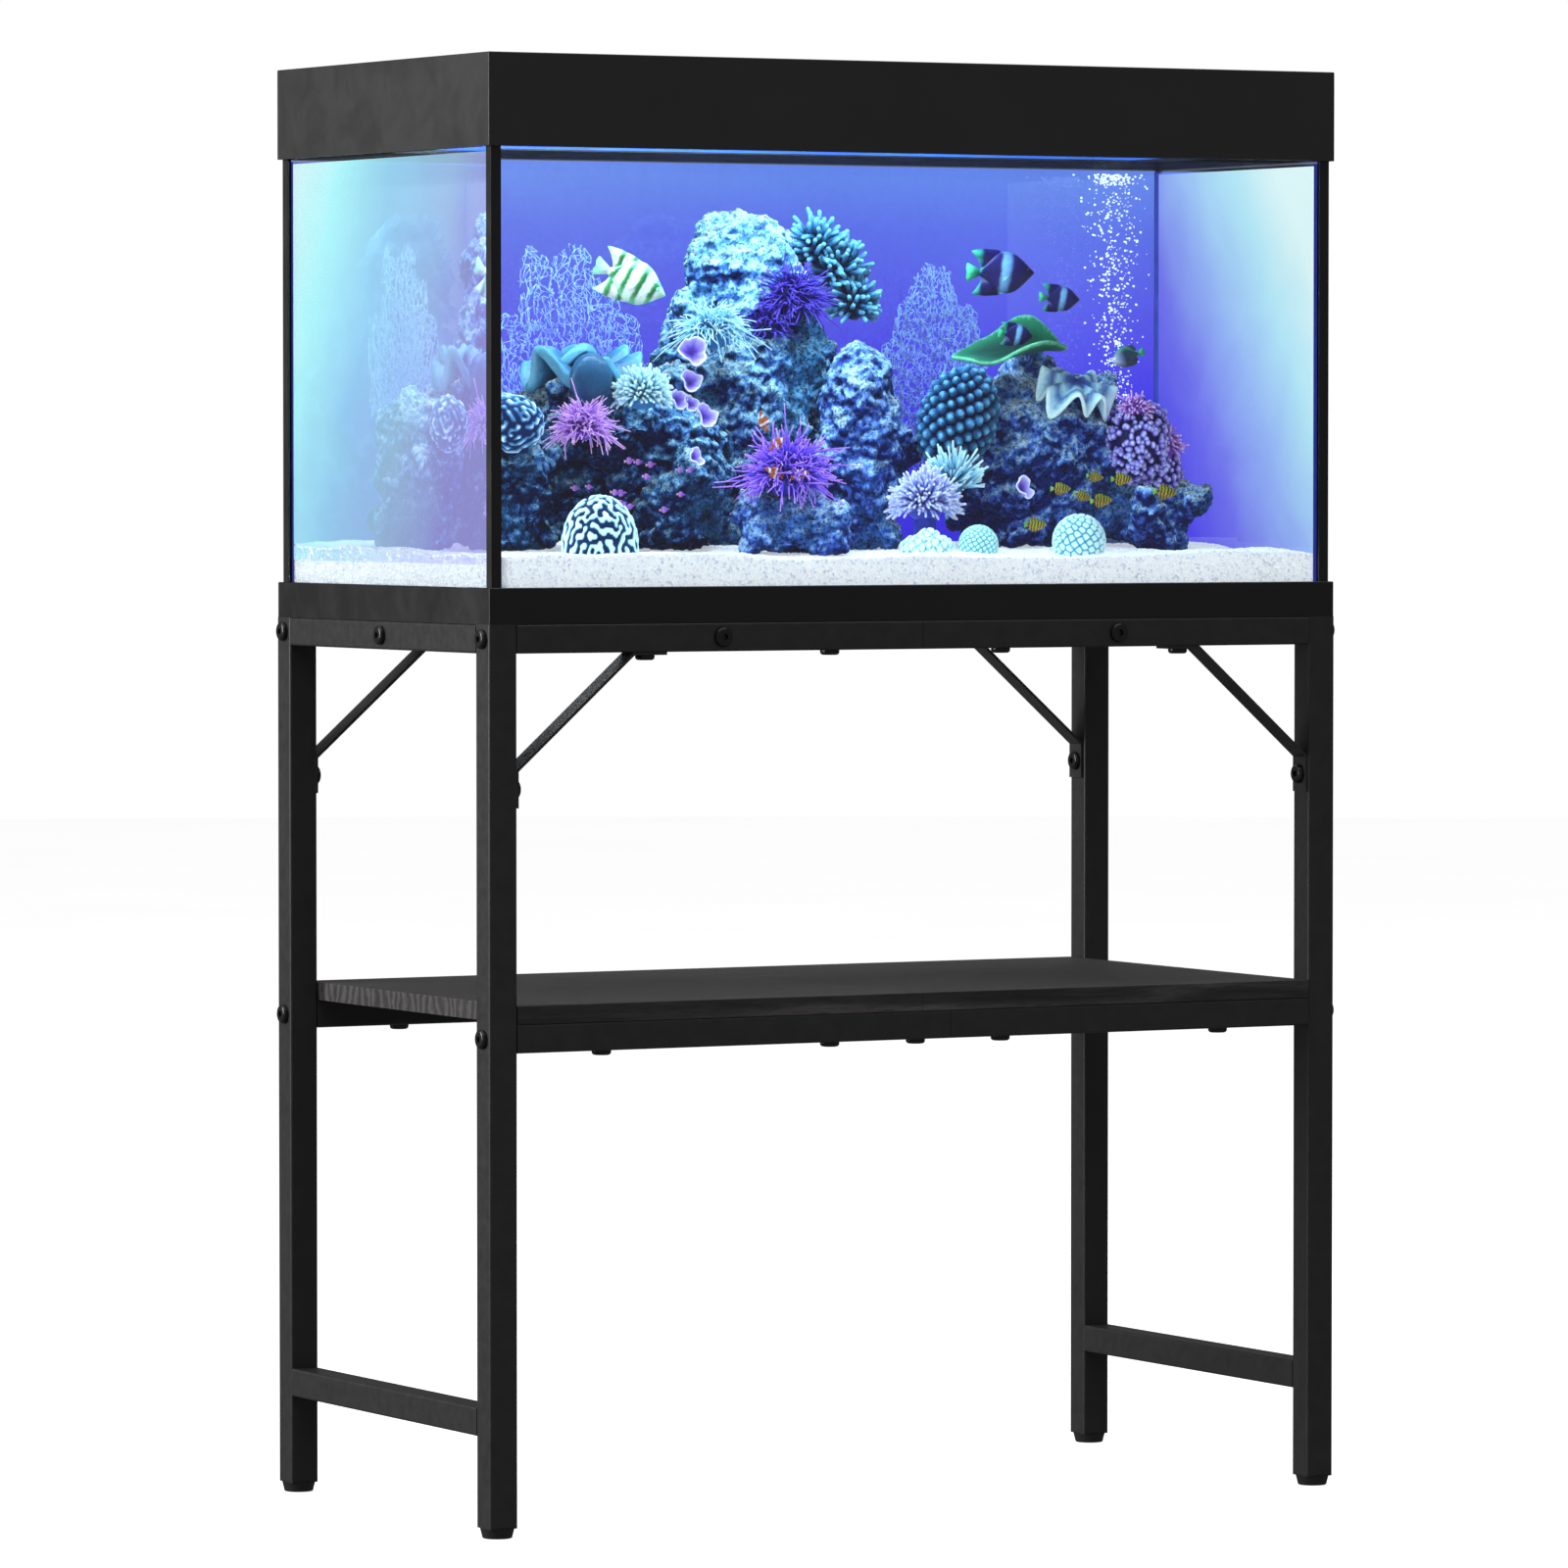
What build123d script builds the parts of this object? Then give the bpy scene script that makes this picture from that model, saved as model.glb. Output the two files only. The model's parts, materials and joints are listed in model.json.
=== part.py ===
from build123d import *
import math
import os

# Aquarium on a knock-down steel stand, in millimetres.
# The origin is the centre of the footprint on the floor, +X runs along the front, the front faces -Y, +Z is up.

# ---- Driving dimensions ----
LENGTH = 800                      # outer faces of the legs, and the tank above them
DEPTH = 396
TUBE = 25                         # square leg tube, one inch
RAIL_HEIGHT = 23.5                # the long rails and cross members are a little lower than the legs are wide
WALL = 1.5
CORNER = 2                        # outer corner radius of the tubes
FOOT_HEIGHT = 8
FRAME_TOP = 737
LEG_SEAM = 427.5                  # where the upper frame stands on the lower one
SHELF_RAIL_TOP = 415
BOARD = 15
CROSS_MEMBER_TOP = 105            # of the lower side frames
TRIM_HEIGHT = 29.5                # plastic base trim round the tank
HOOD_BOTTOM = 1121
HOOD_TOP = 1196

# ---- Derived places ----
LEG_X = (LENGTH - TUBE) / 2
LEG_Y = (DEPTH - TUBE) / 2
LEG_INNER_X = LENGTH / 2 - TUBE
LEG_INNER_Y = DEPTH / 2 - TUBE
TOP_RAIL_Z = FRAME_TOP - RAIL_HEIGHT / 2
TOP_RAIL_BOTTOM = FRAME_TOP - RAIL_HEIGHT
SHELF_RAIL_Z = SHELF_RAIL_TOP - RAIL_HEIGHT / 2
SHELF_RAIL_BOTTOM = SHELF_RAIL_TOP - RAIL_HEIGHT
CROSS_MEMBER_Z = CROSS_MEMBER_TOP - RAIL_HEIGHT / 2
TRIM_TOP = FRAME_TOP + TRIM_HEIGHT
SIDES = {"left": -1, "right": 1}
FACES = {"front": -1, "rear": 1}

# ---- Hardware ----
BOLT_R = 4                        # M8
BOLT_HOLE_R = 4.2
HEAD_R = 8
HEAD_HEIGHT = 4.2
SOCKET_ACROSS = 5
SLEEVE_HALF = 40                  # the leg sleeve reaches this far up and down from the seam
SLEEVE_WALL = 2                   # of the leg sleeves and the rail couplers
SLEEVE_BORE_CORNER = 0.4
WELD_NUT_R = 7
WELD_NUT_HEIGHT = 6
PLUG_DEPTH = 20
FOOT_TOP_R = 14
FOOT_BOTTOM_R = 12
FOOT_SLACK = 0.1                  # between the foot's pad and the leg plug
STUD_LENGTH = 24
COUPLER_HALF = 110                # the rail coupler, from the middle of the rail
COUPLER_BOLT_X = 81
TOP_SEAM_X = 0
SHELF_SEAM_X = 26.5
SEAM_GAP = 0.5
BEARER_X = 187.3                  # the two cross bearers under the tank
BEARER_THICK = 4
BEARER_HEIGHT = 21
BEARER_TAB = 30
BOARD_BOLT_X = 292.5
END_NUT = 22

# ---- Knee braces ----
BRACE_WIDTH = 20
BRACE_THICK = 2.4
BRACE_EDGE = 2                    # from the outer face of the stand to the strip's edge
BRACE_TAB = 29.5
BRACE_DROP = 124.5                # from the underside of the rail to the bottom of the leg tab
BRACE_BEND_X = 108                # from the leg's inner face to the bend under the rail
BRACE_BOLT = 15                   # from either end of the strip
BRACE_LOW = TOP_RAIL_BOTTOM - BRACE_DROP
BRACE_BOLT_Z = BRACE_LOW + BRACE_BOLT
BRACE_BEND = LEG_INNER_X - BRACE_BEND_X
BRACE_FLANGE_X = BRACE_BEND - BRACE_TAB + BRACE_BOLT

# ---- Tank ----
GLASS = 6
TRIM_INSET = 0.5
GLASS_INSET = 6                   # outer face of the glass from the footprint's edge
POST_INSET = 4
POST_THICK = 2
POST_WIDTH = 9
LEDGE = 3
TRIM_SHELF = 24                   # inner edge of the trim's shelf under the bottom pane
RIM_LIP = 14                      # inner edge of the top rim
FILM = 0.4
GLASS_BOTTOM = FRAME_TOP + LEDGE
GLASS_TOP = 1125
RIM_TOP = GLASS_TOP + 3
SEAL = 3.5                        # legs of the silicone fillets
INNER_X = LENGTH / 2 - GLASS_INSET - GLASS
INNER_Y = DEPTH / 2 - GLASS_INSET - GLASS
FLOOR_Z = GLASS_BOTTOM + GLASS    # top of the bottom pane
GRAVEL_FRONT = 789
GRAVEL_REAR = 799

# ---- Hood ----
HOOD_WALL = 3
HOOD_INSET = 0.5
FLAP_HALF = 300
FLAP_FRONT = -150
FLAP_GAP = 0.8
FLAP_LEDGE = 4                    # the ledge carries this much of the flap's edge
FLAP_LEDGE_THICK = 3
NOTCH_HALF = 35                   # finger notch in the flap's front edge
NOTCH_DEPTH = 28
HINGE_Y = 20
BARREL_R = 4
HINGE_Z = HOOD_TOP - BARREL_R - 0.3
PIN_R = 2
PIN_CLEARANCE = 0.06
HINGE_GAP = 6                     # from the hinge axis to the roof behind it
EAR = 15
LIGHT_HALF = 300
LIGHT_Y = 100
LIGHT_WIDTH = 80
LIGHT_BOTTOM = 1172
LIGHT_TOP = 1188
LIGHT_WALL = 2
LIGHT_POST_X = 220
LIGHT_POST_Y = 25                 # from the middle of the light
LIGHT_POST_R = 5
LED_BOARD_THICK = 1.6
LED_SIZE = 5
LED_HEIGHT = 1.2
LED_PITCH = 24
LED_COUNT = 24
LED_ROW = 18                      # each row of lights from the middle of the board
GROMMET_X = 300
GROMMET_Z = 1158
GROMMET_R = 6
GROMMET_LIP = 1.2


def box(x0, x1, y0, y1, z0, z1):
    """A block between two values on each axis."""
    return Pos((x0 + x1) / 2, (y0 + y1) / 2, (z0 + z1) / 2) * Box(x1 - x0, y1 - y0, z1 - z0)


def prism(axis, low, high, centre, size, radius):
    """A rounded rectangular bar along one axis. Centre and size are on the other two axes, in X, Y, Z order."""
    a, b = centre
    plane = {
        "x": Plane((low, a, b), x_dir=(0, 1, 0), z_dir=(1, 0, 0)),
        "y": Plane((a, low, b), x_dir=(-1, 0, 0), z_dir=(0, 1, 0)),
        "z": Plane((a, b, low)),
    }[axis]
    return extrude(plane * RectangleRounded(size[0], size[1], radius), high - low)


def bore(axis, point, radius, length):
    """A cylinder centred on a point, for cutting a hole along one axis."""
    turn = {"x": Rot(0, 90, 0), "y": Rot(90, 0, 0), "z": Rot(0, 0, 0)}[axis]
    return Pos(*point) * turn * Cylinder(radius, length)


def tube(axis, low, high, centre, size):
    """An open-ended steel tube."""
    inner = (size[0] - 2 * WALL, size[1] - 2 * WALL)
    outside = prism(axis, low, high, centre, size, CORNER)
    return outside - prism(axis, low, high, centre, inner, CORNER - WALL)


def ring(inset_out, inset_in, z0, z1, radius=0):
    """A rectangular frame round the tank, between two insets from the footprint's edge."""
    out_x, out_y = LENGTH / 2 - inset_out, DEPTH / 2 - inset_out
    in_x, in_y = LENGTH / 2 - inset_in, DEPTH / 2 - inset_in
    outside = box(-out_x, out_x, -out_y, out_y, z0, z1)
    if radius:
        outside = fillet(outside.edges().filter_by(Axis.Z), radius)
    return outside - box(-in_x, in_x, -in_y, in_y, z0, z1)


def bolt(point, direction, shank):
    """A button-head socket screw. The head's underside sits at point and the head points along direction."""
    head = Pos(0, 0, HEAD_HEIGHT / 2) * Cylinder(HEAD_R, HEAD_HEIGHT)
    head = fillet(head.edges().group_by(Axis.Z)[-1], HEAD_HEIGHT * 0.6)
    socket = extrude(Plane((0, 0, HEAD_HEIGHT - 2.6)) * RegularPolygon(SOCKET_ACROSS / math.sqrt(3), 6), 2.6)
    body = Pos(0, 0, -shank / 2) * Cylinder(BOLT_R, shank)
    body = chamfer(body.edges().group_by(Axis.Z)[0], 0.8)
    return Plane(point, z_dir=direction).location * (head - socket + body)


def ellipsoid(centre, radii, lying=False):
    """A stretched ball, the core shape of the rocks and corals. A lying ball has its poles left and right."""
    if lying:
        return Pos(*centre) * Rot(0, 90, 0) * scale(Sphere(1), by=radii[::-1])
    return Pos(*centre) * scale(Sphere(1), by=radii)


def group(solids):
    return Compound(children=list(solids))


parts = {}


# ---- Side frames: two legs and a cross member, welded ----
def side_frame(side, leg_low, leg_high, bar_z, bolt_z, brace_z=None):
    """One end of the stand. Through holes take the rail bolts; the cross member joins the legs."""
    x = side * LEG_X
    frame = prism("y", -LEG_INNER_Y, LEG_INNER_Y, (x, bar_z), (TUBE, RAIL_HEIGHT), CORNER)
    frame -= prism("y", -LEG_INNER_Y, LEG_INNER_Y, (x, bar_z),
                   (TUBE - 2 * WALL, RAIL_HEIGHT - 2 * WALL), CORNER - WALL)
    for face in FACES.values():
        y = face * LEG_Y
        frame += tube("z", leg_low, leg_high, (x, y), (TUBE, TUBE))
        frame -= bore("x", (x, y, bolt_z), BOLT_HOLE_R, TUBE + 2)
        if brace_z:
            frame -= bore("x", (side * LEG_INNER_X, y, brace_z), BOLT_R, 6)
    return frame


for name, side in SIDES.items():
    upper = side_frame(side, LEG_SEAM, FRAME_TOP, TOP_RAIL_Z, TOP_RAIL_Z, BRACE_BOLT_Z)
    for face in FACES.values():
        upper += prism("z", FRAME_TOP - WALL, FRAME_TOP, (side * LEG_X, face * LEG_Y), (TUBE, TUBE), CORNER)
    parts[f"upper_side_frame_{name}"] = upper - bore("x", (side * LEG_X, 0, TOP_RAIL_Z), BOLT_HOLE_R, TUBE + 2)
    parts[f"lower_side_frame_{name}"] = side_frame(
        side, FOOT_HEIGHT + WALL, LEG_SEAM, CROSS_MEMBER_Z, SHELF_RAIL_Z)

# ---- Sleeves that join the upper legs to the lower ones ----
sleeves = []
for side in SIDES.values():
    for face in FACES.values():
        centre = (side * LEG_X, face * LEG_Y)
        bore_size = TUBE - 2 * WALL
        sleeve_bore = bore_size - 2 * SLEEVE_WALL
        low, high = LEG_SEAM - SLEEVE_HALF, LEG_SEAM + SLEEVE_HALF
        sleeve = prism("z", low, high, centre, (bore_size, bore_size), CORNER - WALL)
        sleeve -= prism("z", low, high, centre, (sleeve_bore, sleeve_bore), SLEEVE_BORE_CORNER)
        sleeves.append(sleeve - bore("x", (*centre, SHELF_RAIL_Z), BOLT_HOLE_R, TUBE))
parts["leg_sleeves"] = group(sleeves)

# ---- Long rails, each in two halves that meet on a coupler ----
RAIL_BORE = (TUBE - 2 * WALL, RAIL_HEIGHT - 2 * WALL)


def long_rail(face, z, seam, half):
    """One half of a long rail, with its bolt holes."""
    y = face * LEG_Y
    low, high = (-LEG_INNER_X, seam - SEAM_GAP / 2) if half < 0 else (seam + SEAM_GAP / 2, LEG_INNER_X)
    rail = tube("x", low, high, (y, z), (TUBE, RAIL_HEIGHT))
    bottom = z - RAIL_HEIGHT / 2
    if z == TOP_RAIL_Z:
        rail -= bore("y", (half * BEARER_X, y, z), BOLT_HOLE_R, TUBE + 2)
        rail -= bore("z", (half * BRACE_FLANGE_X, y, bottom), BOLT_R, 6)
    else:
        rail -= bore("z", (half * BOARD_BOLT_X, y, z), BOLT_HOLE_R, RAIL_HEIGHT + 2)
        rail -= bore("z", (0, y, bottom), BOLT_HOLE_R, 6)
    return rail - bore("z", (half * COUPLER_BOLT_X, y, bottom), BOLT_HOLE_R, 6)


def coupler(face, z, bolts):
    """The inner tube under a rail seam, with weld nuts over its bolts."""
    y = face * LEG_Y
    inner = prism("x", -COUPLER_HALF, COUPLER_HALF, (y, z), RAIL_BORE, CORNER - WALL)
    inside = (RAIL_BORE[0] - 2 * SLEEVE_WALL, RAIL_BORE[1] - 2 * SLEEVE_WALL)
    inner -= prism("x", -COUPLER_HALF, COUPLER_HALF, (y, z), inside, SLEEVE_BORE_CORNER)
    floor = z - RAIL_BORE[1] / 2 + SLEEVE_WALL
    for x in bolts:
        inner += Pos(x, y, floor + WELD_NUT_HEIGHT / 2) * Cylinder(WELD_NUT_R, WELD_NUT_HEIGHT)
        inner -= bore("z", (x, y, floor), BOLT_R, 20)
    return inner


couplers = []
end_nuts = []
LEVELS = {"top": (TOP_RAIL_Z, TOP_SEAM_X, (-COUPLER_BOLT_X, COUPLER_BOLT_X)),
          "shelf": (SHELF_RAIL_Z, SHELF_SEAM_X, (-COUPLER_BOLT_X, 0, COUPLER_BOLT_X))}
for level, (z, seam, coupler_bolts) in LEVELS.items():
    for face_name, face in FACES.items():
        for side_name, side in SIDES.items():
            parts[f"{level}_rail_{face_name}_{side_name}"] = long_rail(face, z, seam, side)
            ends = sorted((side * (LEG_INNER_X - END_NUT), side * LEG_INNER_X))
            nut = prism("x", ends[0], ends[1], (face * LEG_Y, z), RAIL_BORE, CORNER - WALL)
            end_nuts.append(nut - bore("x", (side * LEG_INNER_X, face * LEG_Y, z), BOLT_R, 2 * END_NUT + 2))
        couplers.append(coupler(face, z, coupler_bolts))
parts["rail_couplers"] = group(couplers)
parts["rail_end_nuts"] = group(end_nuts)


# ---- Bearers under the tank: flat bars on edge, halved together ----
BEARER_LOW = TOP_RAIL_Z - BEARER_HEIGHT / 2
BEARER_HIGH = TOP_RAIL_Z + BEARER_HEIGHT / 2
NOTCH = BEARER_THICK / 2 + 0.2


def end_tab(axis, place):
    """A bent tab that bolts to the inside of the frame, with its weld nut."""
    x, y = place
    half = BEARER_TAB / 2
    thick = BEARER_THICK
    inward_x = -math.copysign(1, x) if axis == "x" else 0
    inward_y = -math.copysign(1, y) if axis == "y" else 0
    xs = sorted((x, x + inward_x * thick)) if axis == "x" else (x - half, x + half)
    ys = sorted((y, y + inward_y * thick)) if axis == "y" else (y - half, y + half)
    tab = box(*xs, *ys, BEARER_LOW, BEARER_HIGH)
    return tab - bore(axis, (x, y, TOP_RAIL_Z), BOLT_R, 30)


TAB_OFFSET = (BEARER_TAB - BEARER_THICK) / 2    # from the middle of a tab to the bar it ends
HALF_BAR = BEARER_THICK / 2
for name, side in SIDES.items():
    x = side * BEARER_X
    bar_x = x + side * TAB_OFFSET
    bar = box(bar_x - HALF_BAR, bar_x + HALF_BAR, -LEG_INNER_Y, LEG_INNER_Y, BEARER_LOW, BEARER_HIGH)
    bar += end_tab("y", (x, -LEG_INNER_Y)) + end_tab("y", (x, LEG_INNER_Y))
    bar -= box(bar_x - BEARER_THICK, bar_x + BEARER_THICK, TAB_OFFSET - NOTCH, TAB_OFFSET + NOTCH,
               BEARER_LOW, TOP_RAIL_Z)
    parts[f"cross_bearer_{name}"] = bar

long_bar = box(-LEG_INNER_X, LEG_INNER_X, TAB_OFFSET - HALF_BAR, TAB_OFFSET + HALF_BAR, BEARER_LOW, BEARER_HIGH)
long_bar += end_tab("x", (-LEG_INNER_X, 0)) + end_tab("x", (LEG_INNER_X, 0))
for side in SIDES.values():
    bar_x = side * (BEARER_X + TAB_OFFSET)
    long_bar -= box(bar_x - NOTCH, bar_x + NOTCH, TAB_OFFSET - BEARER_THICK, TAB_OFFSET + BEARER_THICK,
                    TOP_RAIL_Z, BEARER_HIGH)
parts["long_bearer"] = long_bar

# ---- Shelf boards ----
for name, side in SIDES.items():
    ends = sorted((side * (LEG_INNER_X - 0.2), side * 0.2))
    board = box(*ends, -DEPTH / 2, DEPTH / 2, SHELF_RAIL_TOP, SHELF_RAIL_TOP + BOARD)
    board = fillet(board.edges().group_by(Axis.Z)[-1], 0.8)
    for face in FACES.values():
        board -= bore("z", (side * BOARD_BOLT_X, face * LEG_Y, SHELF_RAIL_TOP), BOLT_R, 20)
    parts[f"shelf_board_{name}"] = board


# ---- Knee braces: flat strip, bent at both ends ----
def ribbon(points, thickness):
    """A mitred strip of constant thickness to the left of a run of points, as a closed face in the XZ plane."""
    offset_points = []
    for i, (px, pz) in enumerate(points):
        before = points[max(i - 1, 0)]
        after = points[min(i + 1, len(points) - 1)]
        normals = []
        for (ax, az), (bx, bz) in ((before, (px, pz)), ((px, pz), after)):
            run = math.hypot(bx - ax, bz - az)
            if run:
                normals.append((-(bz - az) / run, (bx - ax) / run))
        nx = sum(n[0] for n in normals)
        nz = sum(n[1] for n in normals)
        reach = thickness * len(normals) / (nx * nx + nz * nz)
        offset_points.append((px + nx * reach, pz + nz * reach))
    return points + offset_points[::-1]


def knee_brace(side, face):
    """A flat strip from the leg up to the underside of the rail, with a bolted tab at each end."""
    leg = LEG_INNER_X - BRACE_THICK
    under_rail = TOP_RAIL_BOTTOM - BRACE_THICK
    path = [(leg, BRACE_LOW), (leg, BRACE_LOW + BRACE_TAB), (BRACE_BEND, under_rail),
            (BRACE_BEND - BRACE_TAB, under_rail)]
    outline = [(side * x, z) for x, z in ribbon(path[::-1], BRACE_THICK)]
    front = face * (DEPTH / 2 - BRACE_EDGE)
    plane = Plane((0, front, 0), x_dir=(1, 0, 0), z_dir=(0, -1, 0))
    strip = extrude(plane * Polygon(*outline, align=None), BRACE_WIDTH, dir=(0, -face, 0))
    strip -= bore("x", (side * LEG_INNER_X, face * LEG_Y, BRACE_BOLT_Z), BOLT_HOLE_R, 10)
    return strip - bore("z", (side * BRACE_FLANGE_X, face * LEG_Y, TOP_RAIL_BOTTOM), BOLT_HOLE_R, 10)


for face_name, face in FACES.items():
    for side_name, side in SIDES.items():
        parts[f"knee_brace_{face_name}_{side_name}"] = knee_brace(side, face)

# ---- Bolts ----
corners = [(side, face) for side in SIDES.values() for face in FACES.values()]
parts["side_frame_bolts"] = group(
    bolt((side * LENGTH / 2, face * LEG_Y, z), (side, 0, 0), TUBE + END_NUT - 2)
    for side, face in corners for z in (TOP_RAIL_Z, SHELF_RAIL_Z))
parts["bearer_bolts"] = group(
    [bolt((side * BEARER_X, face * DEPTH / 2, TOP_RAIL_Z), (0, face, 0), TUBE + BEARER_THICK)
     for side, face in corners]
    + [bolt((side * LENGTH / 2, 0, TOP_RAIL_Z), (side, 0, 0), TUBE + BEARER_THICK) for side in SIDES.values()])
parts["coupler_bolts"] = group(
    bolt((x, face * LEG_Y, z - RAIL_HEIGHT / 2), (0, 0, -1), 9)
    for face in FACES.values() for z, _, places in LEVELS.values() for x in places)
parts["brace_bolts"] = group(
    [bolt((side * (LEG_INNER_X - BRACE_THICK), face * LEG_Y, BRACE_BOLT_Z), (-side, 0, 0), 12)
     for side, face in corners]
    + [bolt((side * BRACE_FLANGE_X, face * LEG_Y, TOP_RAIL_BOTTOM - BRACE_THICK), (0, 0, -1), 12)
       for side, face in corners])
parts["board_bolts"] = group(
    bolt((side * BOARD_BOLT_X, face * LEG_Y, SHELF_RAIL_BOTTOM), (0, 0, -1), RAIL_HEIGHT + 9)
    for side, face in corners)

# ---- Leg plugs and levelling feet ----
plugs = []
for side, face in corners:
    centre = (side * LEG_X, face * LEG_Y)
    plug = prism("z", FOOT_HEIGHT, FOOT_HEIGHT + WALL, centre, (TUBE, TUBE), CORNER)
    plug_low = FOOT_HEIGHT + WALL
    plug += prism("z", plug_low, plug_low + PLUG_DEPTH, centre, (TUBE - 2 * WALL,) * 2, CORNER - WALL)
    plugs.append(plug - bore("z", (*centre, FOOT_HEIGHT), BOLT_R + 0.05, 60))
    pad_height = FOOT_HEIGHT - FOOT_SLACK
    pad = Pos(*centre, pad_height / 2) * Cone(FOOT_BOTTOM_R, FOOT_TOP_R, pad_height)
    pad = fillet(pad.edges().group_by(Axis.Z)[0], 1)
    stud = Pos(*centre, FOOT_HEIGHT - 1 + STUD_LENGTH / 2) * Cylinder(BOLT_R, STUD_LENGTH)
    stud = chamfer(stud.edges().group_by(Axis.Z)[-1], 1)
    where = ("front" if face < 0 else "rear") + "_" + ("left" if side < 0 else "right")
    parts[f"levelling_foot_{where}"] = pad + stud
parts["leg_plugs"] = group(plugs)

# ---- Tank ----
trim = ring(TRIM_INSET, GLASS_INSET, FRAME_TOP, TRIM_TOP, 1)
trim += ring(TRIM_INSET, TRIM_SHELF, FRAME_TOP, GLASS_BOTTOM, 1)
parts["base_trim"] = chamfer(trim.edges().group_by(Axis.Z)[-1].sort_by(SortBy.LENGTH)[-8:], 0.6)

glass_x = LENGTH / 2 - GLASS_INSET
glass_y = DEPTH / 2 - GLASS_INSET
parts["bottom_glass"] = box(-glass_x, glass_x, -glass_y, glass_y, GLASS_BOTTOM, FLOOR_Z)
parts["front_glass"] = box(-glass_x, glass_x, -glass_y, -INNER_Y, FLOOR_Z, GLASS_TOP)
parts["back_glass"] = box(-glass_x, glass_x, INNER_Y, glass_y, FLOOR_Z, GLASS_TOP)
parts["left_glass"] = box(-glass_x, -INNER_X, -INNER_Y, INNER_Y, FLOOR_Z, GLASS_TOP)
parts["right_glass"] = box(INNER_X, glass_x, -INNER_Y, INNER_Y, FLOOR_Z, GLASS_TOP)
film_x = LENGTH / 2 - RIM_LIP
parts["background_film"] = box(-film_x, film_x, glass_y, glass_y + FILM, TRIM_TOP, HOOD_BOTTOM - 1)

posts = []
for side, face in corners:
    x, y = side * (LENGTH / 2 - POST_INSET), face * (DEPTH / 2 - POST_INSET)
    xs, ys = sorted((x, x - side * POST_WIDTH)), sorted((y, y - face * POST_WIDTH))
    inner_xs = sorted((x - side * POST_THICK, x - side * POST_WIDTH))
    inner_ys = sorted((y - face * POST_THICK, y - face * POST_WIDTH))
    posts.append(box(*xs, *ys, TRIM_TOP, HOOD_BOTTOM) - box(*inner_xs, *inner_ys, TRIM_TOP, HOOD_BOTTOM))
parts["corner_posts"] = group(posts)

# Silicone fillets: one round the floor of the tank, and one up each corner.
fillet_cut = loft([Plane((0, 0, FLOOR_Z)) * Rectangle(2 * INNER_X - 2 * SEAL, 2 * INNER_Y - 2 * SEAL),
                   Plane((0, 0, FLOOR_Z + SEAL)) * Rectangle(2 * INNER_X, 2 * INNER_Y)])
seams = box(-INNER_X, INNER_X, -INNER_Y, INNER_Y, FLOOR_Z, FLOOR_Z + SEAL) - fillet_cut
for side, face in corners:
    x, y = side * INNER_X, face * INNER_Y
    triangle = Polygon((x, y), (x - side * SEAL, y), (x, y - face * SEAL), align=None)
    seams += extrude(Plane((0, 0, FLOOR_Z)) * triangle, HOOD_BOTTOM - 2 - FLOOR_Z, dir=(0, 0, 1))
parts["silicone_seams"] = seams

rim = ring(POST_INSET, GLASS_INSET, HOOD_BOTTOM + 0.5, RIM_TOP) + ring(POST_INSET, RIM_LIP, GLASS_TOP, RIM_TOP)
parts["top_rim"] = rim + ring(GLASS_INSET + GLASS, RIM_LIP, HOOD_BOTTOM, RIM_TOP)

# ---- Gravel, rocks and corals ----
bed_outline = Polygon(
    (-INNER_Y, FLOOR_Z), (INNER_Y, FLOOR_Z), (INNER_Y, GRAVEL_REAR), (-INNER_Y, GRAVEL_FRONT), align=None)
end_plane = Plane((-INNER_X, 0, 0), x_dir=(0, 1, 0), z_dir=(1, 0, 0))
bed = extrude(end_plane * bed_outline, 2 * INNER_X, dir=(1, 0, 0))
parts["gravel_bed"] = bed - seams

# Each rock is a few stretched balls, cut by the gravel and by what was placed before it.
ROCKS = {
    "rock_left": [
        ((-322, 10, 850), (54, 58, 80)),       # pillar at the left end
        ((-240, 22, 897), (92, 54, 32), True),  # bridge over the cave, lying between the two
        ((-152, 12, 842), (46, 60, 84)),       # mound at the right of the cave
        ((-230, 64, 838), (76, 34, 62)),       # rear wall of the cave
    ],
    "rock_centre": [((-62, 85, 900), (84, 66, 158)), ((-60, 88, 1027), (62, 50, 52))],
    "rock_slab": [((22, 5, 880), (41, 40, 92))],
    "rock_anemone": [((-76, -74, 806), (50, 44, 46))],
    "rock_right": [((213, 40, 865), (98, 64, 87)), ((300, 5, 815), (37, 46, 42))],
    "brain_coral": [((-277, -138, 797), (38, 36, 44))],
}
keep_above = box(-INNER_X, INNER_X, -INNER_Y, INNER_Y, FLOOR_Z, GLASS_TOP) - bed
placed = []
for name, balls in ROCKS.items():
    rock = ellipsoid(*balls[0])
    for ball in balls[1:]:
        rock += ellipsoid(*ball)
    rock &= keep_above
    for other in placed:
        rock -= other
    placed.append(rock)
    parts[name] = rock

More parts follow.
